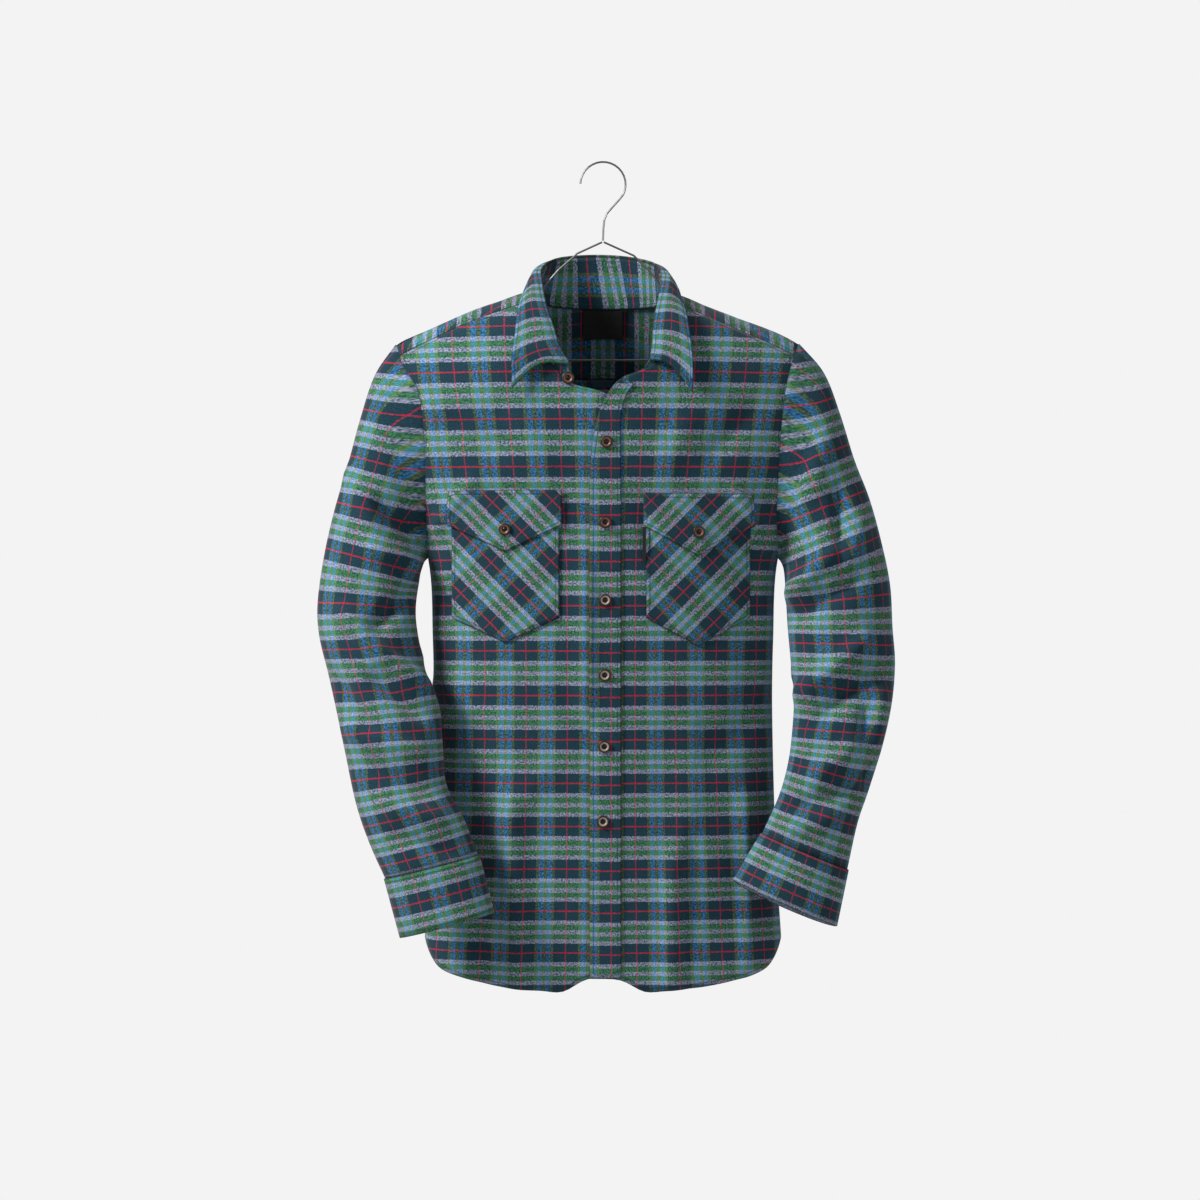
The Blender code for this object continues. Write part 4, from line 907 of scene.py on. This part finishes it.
collarLook = {"standCut": (0.43, 0.045), "leafCut": (0.44, 0.070), "wall": 0.0022,
              "leafTall": 0.066,          # metres of check down the leaf
              "roll": 0.0070,             # how far the fold stands off the stand
              "rollAt": 0.12,             # share of the leaf that the roll takes up
              "forward": 0.0036, "fullness": 0.004, "offFront": 0.0044,
              "tuck": 0.0026, "tuckDown": 0.004,
              "repeats": (0.048, 0.052), "start": 0.58}
collarMiddle = (0, 0, -0.19)


def collarCheck(high, around, shift):
    # the check turned a quarter, so its red weft lines run up the collar
    down = np.tile(high[:, None] / collarLook["repeats"][0], (1, len(around))) + shift
    across = np.tile(around / collarLook["repeats"][1] + collarLook["start"], (len(high), 1))
    return np.stack([down, across], -1)


def leafPoint(fold, edge, bow, part):
    # a point of the leaf, from part 0 at the fold to part 1 at the free edge
    away = Vector((edge.x, edge.y, 0)).normalized()
    rolled = collarLook["roll"] * min(part / collarLook["rollAt"], 1) * (1 - 0.7 * part)
    point = fold + (edge - fold) * part + away * rolled
    point.y -= collarLook["forward"] * ramp(0.015, 0.045, -fold.y)
    point.z += shirt["double"] + shirt["lay"] * (1 - part)
    point.z += (bow + collarLook["fullness"]) * math.sin(math.pi * part)
    if point.y < 0 and smooth(ridge, "x", point.x, "z") > point.z and part > 0.2:
        front = bodyPoint(turnAt(point.x, point.z), point.z).y
        point.y = min(point.y, front - collarLook["offFront"])
    return tuple(point)


def makeCollar(flannel):
    folded, edges = collarFrame()
    feet = [bodyPoint(*spot) for spot in neckStations()]
    stand = refine([[tuple(foot + (fold - foot) * part) for foot, fold in zip(feet, folded)]
                    for part in (0.0, 0.5, 1.0)], 5, 6)
    hidden = [[tuple(foot - bodyNormal(*spot) * collarLook["tuck"] - Vector((0, 0, collarLook["tuckDown"])))
               for foot, spot in zip(feet, neckStations())]]
    stand = np.concatenate([refine(hidden, 1, 6), stand])
    around = np.concatenate([[0], np.cumsum(np.linalg.norm(np.diff(stand[-1], axis=0), axis=1))])
    around -= around[len(around) // 2]
    place = collarCheck(np.linspace(0, collarLook["standCut"][1], len(stand)), around, 0.05)
    clothPiece("shirtCollarStand", [stand], [place], flannel, "collar_stand", collarLook["standCut"],
               flipped=not facesOut(stand, collarMiddle), wall=collarLook["wall"], rests=["shirtYoke"],
               bend=False)
    stations = list(zip(folded, edges, collarRow["bow"]))
    leaf = refine([[leafPoint(*station, part) for station in stations]
                   for part in (1.0, 0.7, 0.4, collarLook["rollAt"], 0.0)], 6, 6)
    place = collarCheck(np.linspace(collarLook["leafTall"], 0, len(leaf)), around, 0.3)
    clothPiece("shirtCollar", [leaf], [place], flannel, "collar", collarLook["leafCut"],
               flipped=not facesOut(leaf, collarMiddle), wall=collarLook["wall"], rests=["shirtCollarStand"],
               bend=False)


def plainMaterial(name, colour, roughness, metallic=0.0, grain=200.0):
    made = bpy.data.materials.new(name)
    made.use_nodes = True
    nodes, links = made.node_tree.nodes, made.node_tree.links
    shader = nodes["Principled BSDF"]
    shader.inputs["Metallic"].default_value = metallic
    place = nodes.new("ShaderNodeTexCoord")
    noise = nodes.new("ShaderNodeTexNoise")
    noise.inputs["Scale"].default_value = grain
    links.new(place.outputs["Object"], noise.inputs["Vector"])
    tone = nodes.new("ShaderNodeValToRGB")
    tone.color_ramp.elements[0].color = (*[c * 0.7 for c in colour], 1)
    tone.color_ramp.elements[1].color = (*[min(c * 1.3, 1) for c in colour], 1)
    links.new(noise.outputs["Fac"], tone.inputs[0])
    links.new(tone.outputs["Color"], shader.inputs["Base Color"])
    spread = nodes.new("ShaderNodeMapRange")
    spread.inputs["To Min"].default_value = roughness * 0.85
    spread.inputs["To Max"].default_value = roughness * 1.15
    links.new(noise.outputs["Fac"], spread.inputs["Value"])
    links.new(spread.outputs["Result"], shader.inputs["Roughness"])
    return made


trim = {"rim": (0.035, 0.018, 0.013), "hollow": (0.006, 0.005, 0.005),
        "copper": (0.20, 0.080, 0.045), "cream": (0.40, 0.31, 0.25),
        "black": (0.012, 0.012, 0.014), "steel": (0.30, 0.28, 0.27)}
# a turned button: radius and height from the edge of its back to the middle of its face
buttonOutline = ((0.0066, -0.0013), (0.0071, -0.0009), (0.0071, 0.0006), (0.0067, 0.0012), (0.0051, 0.0012),
                 (0.0046, 0.0010), (0.0036, 0.0008), (0.0032, -0.0002), (0.0026, -0.0004), (0.0018, 0.0000),
                 (0.0010, 0.0004))
hollowReach, ringReach = 0.0031, 0.0050              # the hollow and the ring end about here


def turnButton():
    # one button at the origin, drawn up ring by ring from its flat back
    bpy.ops.object.select_all(action="DESELECT")
    radius, height = buttonOutline[0]
    bpy.ops.mesh.primitive_circle_add(vertices=40, radius=radius, fill_type="NGON", location=(0, 0, height))
    button = bpy.context.object
    bpy.ops.object.transform_apply(location=True)
    bpy.ops.object.mode_set(mode="EDIT")
    bpy.ops.mesh.select_all(action="SELECT")
    for ringRadius, ringHeight in buttonOutline[1:]:
        bpy.ops.mesh.extrude_region_move(TRANSFORM_OT_translate={"value": (0, 0, ringHeight - height)})
        share = ringRadius / radius
        bpy.ops.transform.resize(value=(share, share, 1), center_override=(0, 0, 0))
        radius, height = ringRadius, ringHeight
    bpy.ops.mesh.select_all(action="SELECT")
    bpy.ops.mesh.normals_make_consistent(inside=False)
    bpy.ops.object.mode_set(mode="OBJECT")
    for face in button.data.polygons:
        reach = [button.data.vertices[corner].co.xy.length for corner in face.vertices]
        middle = (max(reach) + min(reach)) / 2
        face.material_index = 0 if middle < hollowReach else 1 if middle < ringReach else 2
    button.data.shade_smooth()
    return button


def makeButtons():
    hollow = plainMaterial("buttonHollow", trim["hollow"], 0.25)
    rim = plainMaterial("buttonRim", trim["rim"], 0.35)
    copper = plainMaterial("buttonCopper", trim["copper"], 0.35)
    cream = plainMaterial("buttonCream", trim["cream"], 0.4)
    button = turnButton()
    for name in [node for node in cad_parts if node.startswith("button_")]:
        low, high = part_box(name)
        spots = np.array([tuple(vertex.co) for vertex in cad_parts[name].data.vertices])
        facing = np.linalg.svd(spots - spots.mean(axis=0))[2][2]     # the flattest way through the button
        if facing[1] > 0 and name != "button_cuff_right":            # that one is sewn on behind
            facing = -facing
        piece = bpy.data.objects.new("turned_" + name, button.data.copy())
        turned = Vector(facing).to_track_quat("Z", "Y").to_matrix().to_4x4()
        piece.data.transform(Matrix.Translation((low + high) / 2) @ turned)
        for material in (hollow, cream if name[-1] in "3456" else copper, rim):
            piece.data.materials.append(material)
        bpy.context.scene.collection.objects.link(piece)
        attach(piece, "root")
        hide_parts(name)
    bpy.data.objects.remove(button)
    print("made buttons")


def finishTrim():
    # the label, the tab and the hanger keep their shape and get their own finish
    black = plainMaterial("blackTape", trim["black"], 0.7)
    tab = plainMaterial("blackTab", trim["black"], 0.7)
    steel = plainMaterial("hangerSteel", trim["steel"], 0.35, 0.9, 400.0)
    for name, material in (("neck_label", black), ("pocket_tab", tab), ("hanger_hook", steel),
                           ("hanger_arm_right", steel), ("hanger_arm_left", steel), ("hanger_bar", steel)):
        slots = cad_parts[name].data.materials
        slots.clear()
        slots.append(material)
    print("finished label, tab and hanger")


studio = {"background": 0.896, "skyLight": 0.28,
          "camera": (-0.0035, -3.90, -0.5124), "lens": 100,
          "floorHeight": -1.36, "floorSize": 1.6}
lamps = (("keyLight", (-2.7, -1.4, 1.6), 1.0, 140),          # name, place, size, watts
         ("fillLight", (2.6, -2.6, 0.2), 2.2, 16))


def setScene():
    scene = bpy.context.scene
    scene.view_settings.view_transform = "Standard"
    world = bpy.data.worlds.new("studio")
    scene.world = world
    world.use_nodes = True
    nodes, links = world.node_tree.nodes, world.node_tree.links
    back = nodes["Background"]
    back.inputs["Color"].default_value = (*[studio["background"]] * 3, 1)
    path = nodes.new("ShaderNodeLightPath")
    level = nodes.new("ShaderNodeMapRange")
    level.inputs["To Min"].default_value = studio["skyLight"]
    level.inputs["To Max"].default_value = 1.0
    links.new(path.outputs["Is Camera Ray"], level.inputs["Value"])
    links.new(level.outputs["Result"], back.inputs["Strength"])
    for name, spot, size, power in lamps:
        lamp = bpy.data.lights.new(name, "AREA")
        lamp.size, lamp.energy = size, power
        made = bpy.data.objects.new(name, lamp)
        made.location = spot
        made.rotation_euler = (Vector(bodyMiddle) - Vector(spot)).to_track_quat("-Z", "Y").to_euler()
        scene.collection.objects.link(made)
    bpy.ops.object.select_all(action="DESELECT")
    bpy.ops.mesh.primitive_plane_add(size=studio["floorSize"], location=(0, 0, studio["floorHeight"]))
    floor = bpy.context.object
    floor.name = "floor"
    floor.data.materials.append(plainMaterial("floorPaper", (0.8, 0.8, 0.8), 0.9, 0.0, 20.0))
    lens = bpy.data.cameras.new("camera")
    lens.lens, lens.sensor_width = studio["lens"], 36
    camera = bpy.data.objects.new("camera", lens)
    camera.location = studio["camera"]
    camera.rotation_euler = (math.pi / 2, 0, 0)
    scene.collection.objects.link(camera)
    scene.camera = camera
    print("set the studio")


setScene()
buildPlaid()
flannel = clothMaterial("flannelPlaid")
makePanels(flannel)
makeYoke(flannel)
makePlacket(flannel)
makePockets(flannel)
makeSleeves(flannel)
makeCollar(flannel)
makeButtons()
finishTrim()
